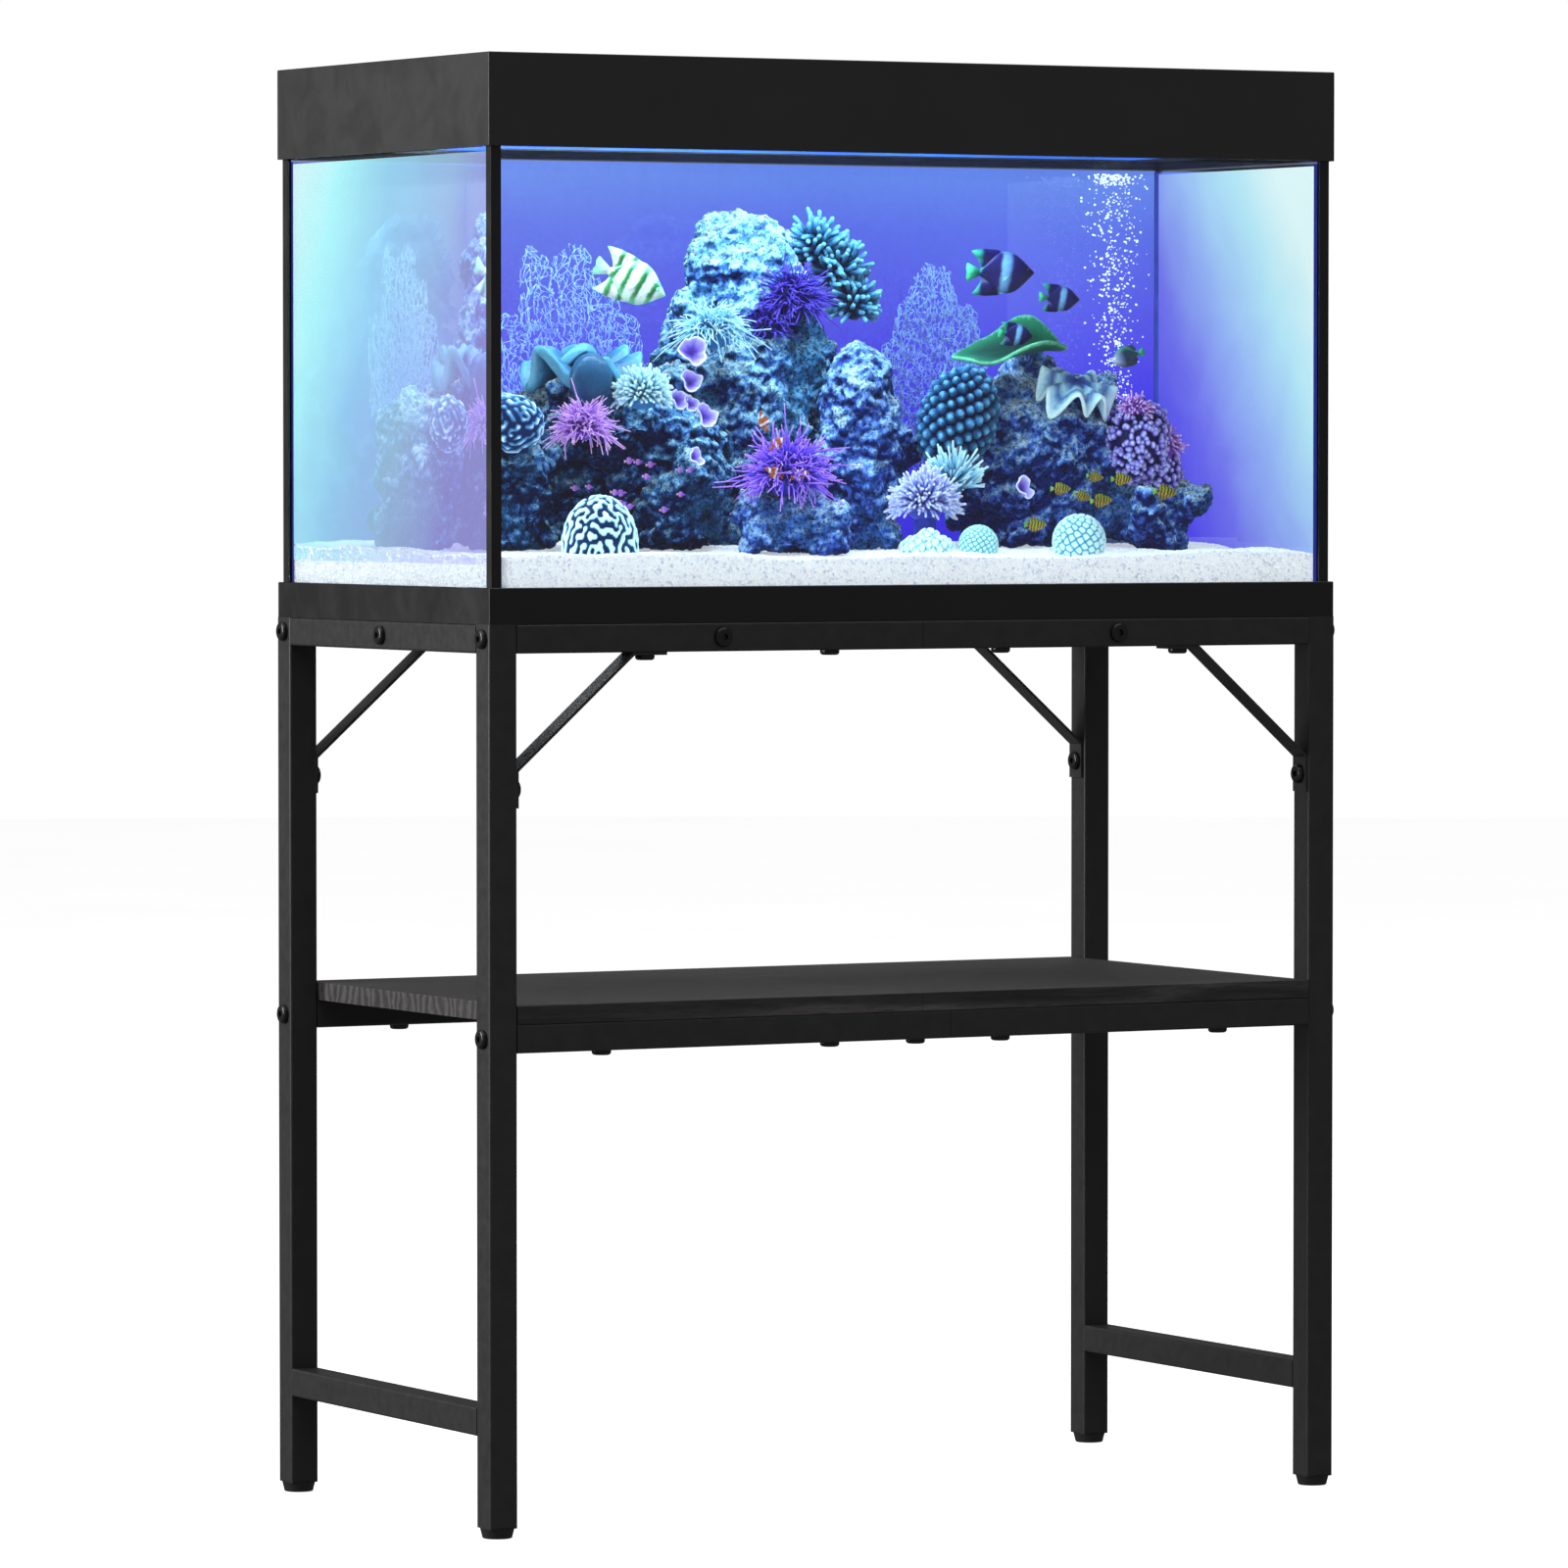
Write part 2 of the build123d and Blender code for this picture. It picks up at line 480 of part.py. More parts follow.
# Corals stand on the rocks and the gravel, as the plain outer shape of each.
CORALS = [
    ((-200, -40, 917), (24, 28, 24)),      # pale ball anemone
    ((-250, -8, 944), (56, 32, 23)),       # leather coral, folded, on the left rock
    ((-260, -48, 893), (28, 30, 27)),      # pink anemone
    ((-320, -50, 901), (31, 26, 25)),      # honeycomb coral
    ((-81, -82, 862), (42, 36, 28)),       # purple anemone on its rock
    ((52, -72, 828), (36, 34, 42)),        # lilac spiky anemone
    ((184, -118, 808), (25, 23, 24)),      # star dome
    ((87, -112, 805), (19, 18, 18)),       # small dotted dome
    ((30, 74, 1030), (36, 24, 44)),        # finger coral beside the central peak
    ((106, -16, 901), (34, 30, 44)),       # scale coral on the right rock
    ((223, -13, 930), (35, 32, 26)),       # clam on the right rock
    ((284, -8, 885), (35, 34, 38)),        # bushy coral
    ((170, 6, 953), (52, 30, 16)),         # plate coral on top of the right rock
]
solid_rocks = placed[0]
for rock in placed[1:]:
    solid_rocks += rock
coral_solids = []
for centre, radii in CORALS:
    coral = (ellipsoid(centre, radii) & keep_above) - solid_rocks
    largest = max(coral.solids(), key=lambda s: s.volume)
    for other in coral_solids:
        largest = max((largest - other).solids(), key=lambda s: s.volume)
    coral_solids.append(largest)
parts["corals"] = group(coral_solids)

# The air stone stands part sunk in the gravel, with the stub for its air hose on top.
stone_x, stone_y = 318, 125
stone = Pos(stone_x, stone_y, 805) * Cylinder(14, 26)
stone += Pos(stone_x, stone_y, 820) * Cylinder(2.5, 14)
parts["air_stone"] = (stone & keep_above) - solid_rocks

# ---- Hood ----
hood_x = LENGTH / 2 - HOOD_INSET
hood_y = DEPTH / 2 - HOOD_INSET
roof_bottom = HOOD_TOP - HOOD_WALL
hood = box(-hood_x, hood_x, -hood_y, hood_y, HOOD_BOTTOM, HOOD_TOP)
hood = fillet(hood.edges().filter_by(Axis.Z), 1.2)
hood = fillet(hood.edges().group_by(Axis.Z)[-1], 1)
inside_x, inside_y = hood_x - HOOD_WALL, hood_y - HOOD_WALL
hood -= box(-inside_x, inside_x, -inside_y, inside_y, HOOD_BOTTOM, roof_bottom)
hood += ring(HOOD_INSET + HOOD_WALL, GLASS_INSET + GLASS, RIM_TOP, RIM_TOP + 3)
hood -= box(-FLAP_HALF, FLAP_HALF, FLAP_FRONT, HINGE_Y + HINGE_GAP, roof_bottom, HOOD_TOP)
ledge_out, ledge_in = FLAP_HALF + FLAP_LEDGE, FLAP_HALF - FLAP_LEDGE
ledge_bottom = roof_bottom - FLAP_LEDGE_THICK
ledge = box(-ledge_out, ledge_out, FLAP_FRONT - FLAP_LEDGE, HINGE_Y - 2 * BARREL_R, ledge_bottom, roof_bottom)
ledge -= box(-ledge_in, ledge_in, FLAP_FRONT + FLAP_LEDGE, HINGE_Y, ledge_bottom, roof_bottom)
ledge -= box(-NOTCH_HALF, NOTCH_HALF, FLAP_FRONT, FLAP_FRONT + NOTCH_DEPTH, ledge_bottom, roof_bottom)
hood += ledge
ear_end = FLAP_HALF - 1
ears = [(-ear_end, -ear_end + EAR), (-EAR, EAR), (ear_end - EAR, ear_end)]
for x0, x1 in ears:
    hood += bore("x", ((x0 + x1) / 2, HINGE_Y, HINGE_Z), BARREL_R, x1 - x0)
    hood += box(x0, x1, HINGE_Y, HINGE_Y + HINGE_GAP + 4, HINGE_Z - 3, roof_bottom)
hood -= bore("x", (0, HINGE_Y, HINGE_Z), PIN_R, 2 * ear_end)
for side in SIDES.values():
    for y in (LIGHT_Y - LIGHT_POST_Y, LIGHT_Y + LIGHT_POST_Y):
        post = Cylinder(LIGHT_POST_R, roof_bottom - LIGHT_TOP)
        hood += Pos(side * LIGHT_POST_X, y, (LIGHT_TOP + roof_bottom) / 2) * post
hood -= bore("y", (GROMMET_X, hood_y, GROMMET_Z), GROMMET_R, 10)
parts["hood_shell"] = hood

parts["hinge_pin"] = bore("x", (0, HINGE_Y, HINGE_Z), PIN_R, 2 * ear_end)

flap_x = FLAP_HALF - FLAP_GAP
flap = box(-flap_x, flap_x, FLAP_FRONT + FLAP_GAP, HINGE_Y, roof_bottom, HOOD_TOP)
for x0, x1 in ears:
    flap -= box(x0 - 1, x1 + 1, HINGE_Y - BARREL_R - 1, HINGE_Y, roof_bottom, HOOD_TOP)
for x0, x1 in ((ears[0][1], ears[1][0]), (ears[1][1], ears[2][0])):
    flap += bore("x", ((x0 + x1) / 2, HINGE_Y, HINGE_Z), BARREL_R, x1 - x0 - 1)
flap -= bore("x", (0, HINGE_Y, HINGE_Z), PIN_R + PIN_CLEARANCE, 2 * FLAP_HALF)
parts["feeding_flap"] = flap - box(
    -NOTCH_HALF, NOTCH_HALF, FLAP_FRONT, FLAP_FRONT + NOTCH_DEPTH, roof_bottom, HOOD_TOP)

# ---- Light: a housing open below, the board of lights in its top, and the lens that closes it ----
light_y0, light_y1 = LIGHT_Y - LIGHT_WIDTH / 2, LIGHT_Y + LIGHT_WIDTH / 2
inside = (-LIGHT_HALF + LIGHT_WALL, LIGHT_HALF - LIGHT_WALL, light_y0 + LIGHT_WALL, light_y1 - LIGHT_WALL)
board_top = LIGHT_TOP - LIGHT_WALL
board_bottom = board_top - LED_BOARD_THICK
housing = box(-LIGHT_HALF, LIGHT_HALF, light_y0, light_y1, LIGHT_BOTTOM, LIGHT_TOP)
parts["light_housing"] = housing - box(*inside, LIGHT_BOTTOM, board_top)
led_board = box(*inside, board_bottom, board_top)
for y in (LIGHT_Y - LED_ROW, LIGHT_Y + LED_ROW):
    for i in range(LED_COUNT):
        x = (i - (LED_COUNT - 1) / 2) * LED_PITCH
        half = LED_SIZE / 2
        led_board += box(x - half, x + half, y - half, y + half, board_bottom - LED_HEIGHT, board_bottom)
parts["led_board"] = led_board
parts["light_lens"] = box(*inside, LIGHT_BOTTOM, LIGHT_BOTTOM + LIGHT_WALL)

grommet = bore("y", (GROMMET_X, hood_y - HOOD_WALL / 2, GROMMET_Z), GROMMET_R, HOOD_WALL)
for y in (hood_y + GROMMET_LIP / 2, hood_y - HOOD_WALL - GROMMET_LIP / 2):
    grommet += bore("y", (GROMMET_X, y, GROMMET_Z), GROMMET_R + 2, GROMMET_LIP)
parts["cable_grommet"] = grommet - bore("y", (GROMMET_X, hood_y, GROMMET_Z), 3.2, 20)

os.makedirs("parts", exist_ok=True)
for name, shape in parts.items():
    export_step(shape, f"parts/{name}.step")
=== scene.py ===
"""The looks of the aquarium on its stand: its finishes, and everything in the water."""

import json
import math
import random

import bmesh
import bpy
import numpy as np
from mathutils import Matrix, Vector, noise


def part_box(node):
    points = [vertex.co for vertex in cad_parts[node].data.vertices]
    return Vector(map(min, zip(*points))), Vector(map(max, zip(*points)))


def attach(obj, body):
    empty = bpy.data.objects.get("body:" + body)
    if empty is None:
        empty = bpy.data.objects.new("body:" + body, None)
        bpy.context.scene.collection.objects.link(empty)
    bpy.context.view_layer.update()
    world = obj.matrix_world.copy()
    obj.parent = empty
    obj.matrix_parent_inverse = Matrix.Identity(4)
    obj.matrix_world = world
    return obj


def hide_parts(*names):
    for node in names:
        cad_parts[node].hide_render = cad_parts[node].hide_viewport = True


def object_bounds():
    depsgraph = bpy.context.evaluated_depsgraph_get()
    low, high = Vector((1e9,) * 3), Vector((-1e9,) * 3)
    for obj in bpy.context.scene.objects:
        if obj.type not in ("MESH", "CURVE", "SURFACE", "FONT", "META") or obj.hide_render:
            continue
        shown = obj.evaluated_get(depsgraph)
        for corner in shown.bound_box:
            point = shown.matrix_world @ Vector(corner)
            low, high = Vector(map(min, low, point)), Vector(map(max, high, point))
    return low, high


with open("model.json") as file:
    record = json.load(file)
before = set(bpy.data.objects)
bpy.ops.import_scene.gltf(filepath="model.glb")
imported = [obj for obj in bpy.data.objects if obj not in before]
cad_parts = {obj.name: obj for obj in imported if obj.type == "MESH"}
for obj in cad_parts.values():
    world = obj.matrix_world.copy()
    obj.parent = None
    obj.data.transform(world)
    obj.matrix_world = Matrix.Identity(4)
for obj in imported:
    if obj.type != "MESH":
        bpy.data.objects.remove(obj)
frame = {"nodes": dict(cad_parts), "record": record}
CAD_LOW, CAD_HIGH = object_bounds()
NODES = frame["nodes"]
TANK = "stand_and_tank"

# The water space, from the inner faces of the panes, the tank's bottom and the hood's lower edge.
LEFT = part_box("left_glass")[1].x
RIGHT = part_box("right_glass")[0].x
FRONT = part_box("front_glass")[1].y
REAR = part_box("back_glass")[0].y
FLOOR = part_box("bottom_glass")[1].z
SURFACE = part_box("hood_shell")[0].z - 0.002
GRAVEL_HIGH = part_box("gravel_bed")[1]
SLOPE = 0.789 / 0.799    # the gravel's height at the front pane, as a share of that at the rear
SAND = SLOPE * GRAVEL_HIGH.z
MIDDLE_X = (LEFT + RIGHT) / 2
MIDDLE_Y = (FRONT + REAR) / 2
GAP = 0.0003
LAMP = 4.5               # how brightly the lens in the hood glows


def in_tank(x, y, z):
    """A point given from the middle of the tank, with z above the gravel at the front, in metres."""
    return Vector((MIDDLE_X + x, MIDDLE_Y + y, SAND + z))


# ---------------------------------------------------------------- node materials

class Shader:
    """A node material while it is being made, with short calls for the nodes that most materials share."""

    def __init__(self, name):
        self.material = bpy.data.materials.new(name)
        self.material.use_nodes = True
        self.tree = self.material.node_tree
        self.tree.nodes.clear()
        self.place = self.node("ShaderNodeTexCoord").outputs["Object"]

    def node(self, kind, inputs=None, **settings):
        made = self.tree.nodes.new(kind)
        for key, value in settings.items():
            setattr(made, key, value)
        for key, value in (inputs or {}).items():
            if isinstance(value, bpy.types.NodeSocket):
                self.tree.links.new(value, made.inputs[key])
            else:
                made.inputs[key].default_value = value
        return made

    def stretched(self, x, y, z, source=None):
        """Object coordinates scaled by x, y and z."""
        inputs = {"Vector": source or self.place, "Scale": (x, y, z)}
        return self.node("ShaderNodeMapping", inputs).outputs["Vector"]

    def noise(self, scale, detail=4, roughness=0.55, distortion=0.0, where=None):
        inputs = {"Vector": where or self.place, "Scale": scale, "Detail": detail,
                  "Roughness": roughness, "Distortion": distortion}
        return self.node("ShaderNodeTexNoise", inputs).outputs["Fac"]

    def cells(self, scale, feature="F1", where=None, output="Distance"):
        inputs = {"Vector": where or self.place, "Scale": scale}
        return self.node("ShaderNodeTexVoronoi", inputs, feature=feature).outputs[output]

    def ramp(self, factor, *stops):
        """A colour or value ramp; each stop is a position and an (r, g, b) colour or one grey value."""
        made = self.node("ShaderNodeValToRGB", {"Fac": factor})
        elements = made.color_ramp.elements
        while len(elements) < len(stops):
            elements.new(0.5)
        for element, (position, colour) in zip(elements, stops):
            element.position = position
            rgb = colour if isinstance(colour, tuple) else (colour, colour, colour)
            element.color = (*rgb, 1.0)
        return made.outputs["Color"]

    def mix(self, factor, first, second, blend="MIX"):
        made = self.node("ShaderNodeMix", data_type="RGBA", blend_type=blend)
        for index, value in ((0, factor), (6, first), (7, second)):
            if isinstance(value, bpy.types.NodeSocket):
                self.tree.links.new(value, made.inputs[index])
            elif index == 0:
                made.inputs[index].default_value = value
            else:
                made.inputs[index].default_value = (*value, 1.0)
        return made.outputs[2]

    def maths(self, operation, first, second=0.0):
        made = self.node("ShaderNodeMath", {0: first, 1: second}, operation=operation)
        return made.outputs[0]

    def axis(self, name, source=None):
        return self.node("ShaderNodeSeparateXYZ", {"Vector": source or self.place}).outputs[name]

    def share(self, value, low, high):
        """How far value is from low to high, from 0 to 1."""
        inputs = {"Value": value, "From Min": low, "From Max": high}
        return self.node("ShaderNodeMapRange", inputs).outputs["Result"]

    def attribute(self, name):
        return self.node("ShaderNodeAttribute", attribute_name=name).outputs["Fac"]

    def cavity(self, low=0.42, high=0.58):
        """0 in creases and 1 on edges."""
        pointiness = self.node("ShaderNodeNewGeometry").outputs["Pointiness"]
        return self.share(pointiness, low, high)

    def bump(self, height, distance, strength=1.0):
        inputs = {"Height": height, "Distance": distance, "Strength": strength}
        return self.node("ShaderNodeBump", inputs).outputs["Normal"]

    def blend(self, factor, first, second):
        """One shader at factor 0 and another at 1."""
        inputs = {0: factor, 1: first.outputs[0], 2: second.outputs[0]}
        return self.finish(self.node("ShaderNodeMixShader", inputs).outputs[0])

    def surface(self, colour, roughness, normal=None, **inputs):
        """Ends the material with a Principled shader."""
        values = {"Base Color": colour, "Roughness": roughness}
        if isinstance(colour, tuple):
            values["Base Color"] = (*colour, 1.0)
        if normal is not None:
            values["Normal"] = normal
        values.update({key.replace("_", " "): value for key, value in inputs.items()})
        principled = self.node("ShaderNodeBsdfPrincipled", values)
        return self.finish(principled.outputs["BSDF"])

    def finish(self, shader):
        self.node("ShaderNodeOutputMaterial", {"Surface": shader})
        return self.material


def coated_steel():
    s = Shader("powder_coated_steel")
    grain = s.noise(900, 3)
    cloud = s.noise(14, 5)
    # The colour is lighter on raised edges, in patches.
    lighter_edges = s.maths("MULTIPLY", s.cavity(0.52, 0.62), s.noise(60, 4))
    colour = s.mix(cloud, (0.013, 0.0132, 0.0135), (0.021, 0.0212, 0.0218))
    colour = s.mix(lighter_edges, colour, (0.036, 0.036, 0.037))
    rough = s.ramp(s.noise(120, 4), (0.3, 0.34), (0.7, 0.46))
    return s.surface(colour, rough, s.bump(grain, 0.0001, 0.2))


def satin_plastic(name, dark, light, rough):
    s = Shader(name)
    colour = s.mix(s.noise(9, 6), dark, light)
    smudge = s.ramp(s.noise(26, 5, distortion=0.6), (0.35, rough - 0.05), (0.7, rough + 0.09))
    return s.surface(colour, smudge, s.bump(s.noise(1500, 2), 0.00008, 0.25))


def bolt_finish():
    s = Shader("black_zinc")
    colour = s.mix(s.noise(260, 4), (0.03, 0.03, 0.032), (0.075, 0.074, 0.075))
    rough = s.ramp(s.noise(420, 3), (0.3, 0.2), (0.7, 0.34))
    return s.surface(colour, rough, s.bump(s.noise(1400, 2), 0.00006, 0.4), Metallic=0.85)


def plated_steel():
    s = Shader("zinc_plated_steel")
    patches = s.cells(420, output="Color")
    grey = s.ramp(patches, (0.2, (0.42, 0.43, 0.44)), (0.9, (0.62, 0.63, 0.65)))
    return s.surface(grey, s.ramp(s.noise(300, 3), (0.3, 0.28), (0.7, 0.42)),
                     s.bump(s.noise(900, 3), 0.00008, 0.4), Metallic=1.0)


def dark_wood():
    """Black oak foil: long grain along the shelf, with cathedral figure and fine open pores."""
    s = Shader("black_oak_board")
    along = s.stretched(1.6, 22, 22)
    figure = s.noise(4.2, 6, 0.6, 1.2, along)
    wave = {"Vector": s.stretched(0.7, 9, 9), "Scale": 3.0, "Distortion": 9.0, "Detail": 4.0,
            "Detail Scale": 1.4}
    rings = s.node("ShaderNodeTexWave", wave, bands_direction="Y").outputs["Fac"]
    pores = s.noise(60, 3, 0.6, 0.0, s.stretched(0.8, 24, 24))
    grain = s.mix(0.45, figure, rings)
    colour = s.ramp(grain, (0.22, (0.022, 0.020, 0.020)), (0.5, (0.052, 0.048, 0.048)),
                    (0.8, (0.105, 0.097, 0.097)))
    streak = s.ramp(pores, (0.56, 0.0), (0.64, 0.75))
    colour = s.mix(streak, colour, (0.0085, 0.0078, 0.0078))
    height = s.mix(0.5, grain, pores)
    return s.surface(colour, s.ramp(grain, (0.2, 0.5), (0.8, 0.62)), s.bump(height, 0.0005, 0.45))


def clear_glass(name, ior, tint, roughness=0.0):
    """Refracts what is seen through it and lets lamps through, so that what is behind it stays lit."""
    s = Shader(name)
    smear = s.ramp(s.noise(7, 4), (0.3, tuple(c * 0.985 for c in tint)), (0.7, tint))
    glass = s.node("ShaderNodeBsdfGlass", {"Color": smear, "Roughness": roughness, "IOR": ior})
    open_way = s.node("ShaderNodeBsdfTransparent", {"Color": (*tint, 1.0)})
    return s.blend(s.node("ShaderNodeLightPath").outputs["Is Shadow Ray"], glass, open_way)


def silicone():
    s = Shader("silicone_painted_glow")
    # Painted light: the clear seams are coloured blue and glow, standing in for the lit water seen through
    # them.
    colour = s.mix(s.noise(80, 3), (0.02, 0.03, 0.22), (0.04, 0.06, 0.40))
    return s.surface(colour, 0.6, s.bump(s.noise(350, 2), 0.0002, 0.5), Specular_IOR_Level=0.1,
                     Emission_Color=colour, Emission_Strength=0.4)


def film_painted_glow():
    """The printed film behind the tank, glowing with painted light that stands in for the lamp's light on it:
    blue at the water's surface, deepening to violet-blue lower down.
    """
    s = Shader("blue_film_painted_glow")
    height = s.share(s.axis("Z"), SAND, SURFACE)
    wobble = s.maths("MULTIPLY", s.maths("SUBTRACT", s.noise(5, 3), 0.5), 0.12)
    colour = s.ramp(s.maths("ADD", height, wobble),
                    (0.02, (0.054, 0.032, 0.80)), (0.37, (0.066, 0.043, 0.86)), (0.53, (0.105, 0.086, 0.87)),
                    (0.70, (0.125, 0.140, 0.88)), (0.84, (0.135, 0.190, 0.89)), (0.97, (0.16, 0.28, 0.90)))
    # Painted light: a lighter wash added towards the left side.
    side = s.ramp(s.share(s.axis("X"), LEFT, RIGHT), (0.0, (0.07, 0.08, 0.04)), (0.55, (0.0, 0.0, 0.0)))
    colour = s.mix(1.0, colour, side, "ADD")
    mottle = s.ramp(s.noise(320, 3), (0.35, 0.94), (0.65, 1.0))
    colour = s.mix(1.0, colour, mottle, "MULTIPLY")
    ink = s.mix(0.9, colour, (0.0, 0.0, 0.02))
    return s.surface(ink, 0.8, s.bump(s.noise(400, 2), 0.0001, 0.3), Specular_IOR_Level=0.0,
                     Emission_Color=colour, Emission_Strength=1.0)


def pane_glow(name, colours, veil, rim, shares, base, power):
    """Light spread over the inside of a side pane: it grows towards one upright edge and towards the top."""
    s = Shader(name)
    across = s.maths("MULTIPLY", s.share(s.axis("Y"), rim[0], rim[1]), shares[0])
    height = s.maths("MULTIPLY", s.share(s.axis("Z"), SAND, SURFACE), shares[1])
    swirl = s.maths("MULTIPLY", s.maths("SUBTRACT", s.noise(9, 4, 0.6, 0.8), 0.5), 0.20)
    reach = s.maths("ADD", s.maths("ADD", across, height), s.maths("ADD", swirl, base))
    colour = s.ramp(reach, *[(k / (len(colours) - 1), stop) for k, stop in enumerate(colours)])
    cover = s.ramp(reach, (0.0, veil[0]), (0.35, veil[1]), (0.8, veil[2]))
    painted_glow = s.node("ShaderNodeEmission", {"Color": colour, "Strength": power})
    return s.blend(cover, s.node("ShaderNodeBsdfTransparent"), painted_glow)


def open_surface():
    """The top of the water, seen from below as an open window with a faint sheen."""
    s = Shader("water_surface")
    ripple = s.noise(40, 3, 0.5, 0.6)
    sheen = s.ramp(ripple, (0.35, 0.02), (0.7, 0.09))
    tint = s.ramp(ripple, (0.3, (0.90, 0.95, 1.0)), (0.7, (0.97, 0.99, 1.0)))
    gloss = s.node("ShaderNodeBsdfGlossy", {"Roughness": 0.12, "Normal": s.bump(ripple, 0.002, 0.5)})
    return s.blend(sheen, s.node("ShaderNodeBsdfTransparent", {"Color": tint}), gloss)


def painted_strip_glow():
    """A strip in the hood that glows with painted light, standing in for the lamp's light on it."""
    s = Shader("hood_painted_glow_strip")
    colour = s.ramp(s.noise(6, 3, 0.5, 0.5), (0.3, (0.03, 0.08, 0.62)), (0.7, (0.05, 0.20, 0.80)))
    return s.surface(colour, 0.4, s.bump(s.noise(90, 3), 0.0003, 0.4), Emission_Color=colour,
                     Emission_Strength=0.8)


def reef_stone(name, dark, middle, pale, moss=(0.01, 0.10, 0.13), seed=0.0):
    """Live rock: pale crust in blotches over deep blue flanks, with painted highlight on its upper faces and
    edges, and painted shade in its creases and pits.
    """
    s = Shader(name)
    where = s.node("ShaderNodeMapping", {"Vector": s.place, "Location": (seed, seed, seed)}).outputs["Vector"]
    # Painted highlight and shade: edges lighter, creases darker, and faces turned up lighter.
    edge = s.cavity(0.42, 0.60)
    upward_painted_light = s.share(s.axis("Z", s.node("ShaderNodeNewGeometry").outputs["Normal"]), -0.5, 1.0)
    blotch = s.noise(17, 6, 0.62, 0.9, where)
    speck = s.noise(170, 6, 0.72, 0.3, where)
    crust_and_painted_light = s.mix(0.45, blotch, speck)
    crust_and_painted_light = s.mix(0.25, crust_and_painted_light, edge)
    crust_and_painted_light = s.mix(0.30, crust_and_painted_light, upward_painted_light)
    colour = s.ramp(crust_and_painted_light, (0.37, dark), (0.46, middle), (0.55, pale), (0.67, (0.84, 0.95, 1.0)))
    patch = s.ramp(s.noise(11, 5, 0.6, 1.0, where), (0.52, 0.0), (0.60, 0.8))
    colour = s.mix(patch, colour, s.mix(speck, moss, middle))
    # Painted shade: darker in the pits of the bump.
    pits = s.ramp(s.noise(110, 4, 0.6, 0.0, where), (0.40, 0.0), (0.52, 1.0))
    grit = s.ramp(s.noise(330, 5, 0.75, 0.0, where), (0.41, 0.16), (0.50, 0.85), (0.60, 1.0))
    colour = s.mix(1.0, colour, grit, "MULTIPLY")
    colour = s.mix(1.0, colour, s.ramp(pits, (0.0, 0.45), (0.6, 1.0)), "MULTIPLY")
    return s.surface(colour, 0.8, s.bump(s.mix(0.5, speck, pits), 0.0035, 1.0), Specular_IOR_Level=0.05)


def banded(name, *stops, rough=0.45, gloss=0.0, scale=220, depth=0.0006):
    """A living surface whose colour runs with the piece's tint, from root or groove to tip or ridge."""
    s = Shader(name)
    tint = s.attribute("tint")
    wander = s.maths("MULTIPLY", s.maths("SUBTRACT", s.noise(scale, 4), 0.5), 0.28)
    colour = s.ramp(s.maths("ADD", tint, wander), *stops)
    return s.surface(colour, rough, s.bump(s.noise(scale * 3, 3), depth, 0.6),
                     Specular_IOR_Level=0.08, Coat_Weight=gloss * 0.5, Coat_Roughness=0.15)


def fish_skin(name, stripes, belly, back):
    """Scales and stripes along a fish, from its nose at 0 to its tail at 1, with a belly and a back shade."""
    s = Shader(name)
    uv = s.node("ShaderNodeUVMap").outputs["UV"]
    along = s.axis("X", uv)
    up = s.axis("Y", uv)
    wave = s.maths("MULTIPLY", s.maths("SUBTRACT", s.noise(5, 2, where=uv), 0.5), 0.07)
    lean = s.maths("MULTIPLY", s.maths("SUBTRACT", up, 0.5), 0.08)
    colour = s.ramp(s.maths("ADD", along, s.maths("ADD", wave, lean)), *stripes)
    colour = s.mix(s.ramp(up, (0.0, 0.6), (0.3, 0.0)), colour, belly)
    colour = s.mix(s.ramp(up, (0.78, 0.0), (1.0, 0.65)), colour, back)
    scales = s.cells(34, where=s.stretched(1.4, 1.0, 1.0, uv))
    colour = s.mix(1.0, colour, s.ramp(scales, (0.0, 1.0), (0.9, 0.72)), "MULTIPLY")
    return s.surface(colour, 0.32, s.bump(scales, 0.0002, 0.5), Specular_IOR_Level=0.1, Coat_Weight=0.1)


def bubble_painted_glow():
    s = Shader("bubble_painted_glow")
    # Painted light: the bubbles glow.
    pale = s.mix(s.noise(160, 2), (0.75, 0.88, 1.0), (1.0, 1.0, 1.0))
    return s.surface(pale, 0.12, Emission_Color=pale, Emission_Strength=0.55, Coat_Weight=0.5)


def white_gravel():
    s = Shader("white_coral_gravel")
    grains = s.cells(480, output="Color")
    shade = s.ramp(grains, (0.0, (0.46, 0.49, 0.58)), (0.30, (0.74, 0.76, 0.81)), (1.0, (0.90, 0.91, 0.93)))
    # Painted shade: darker towards the edges of each grain.
    grain_gap_shade = s.ramp(s.cells(480), (0.0, 1.0), (0.55, 0.80))
    colour = s.mix(1.0, shade, grain_gap_shade, "MULTIPLY")
    # Painted light: the gravel glows, less so along the left pane.
    painted_glow = s.ramp(s.share(s.axis("X"), LEFT, LEFT + 0.012), (0.0, 0.06), (1.0, 0.74))
    return s.surface(colour, 0.8, s.bump(s.cells(480), 0.0014, 0.8), Specular_IOR_Level=0.1,
                     Emission_Color=colour, Emission_Strength=painted_glow)


def studio_floor():
    s = Shader("studio_floor")
    colour = s.mix(s.noise(1.5, 3), (0.84, 0.84, 0.84), (0.87, 0.87, 0.87))
    return s.surface(colour, 0.9, Emission_Color=colour, Emission_Strength=1.0)


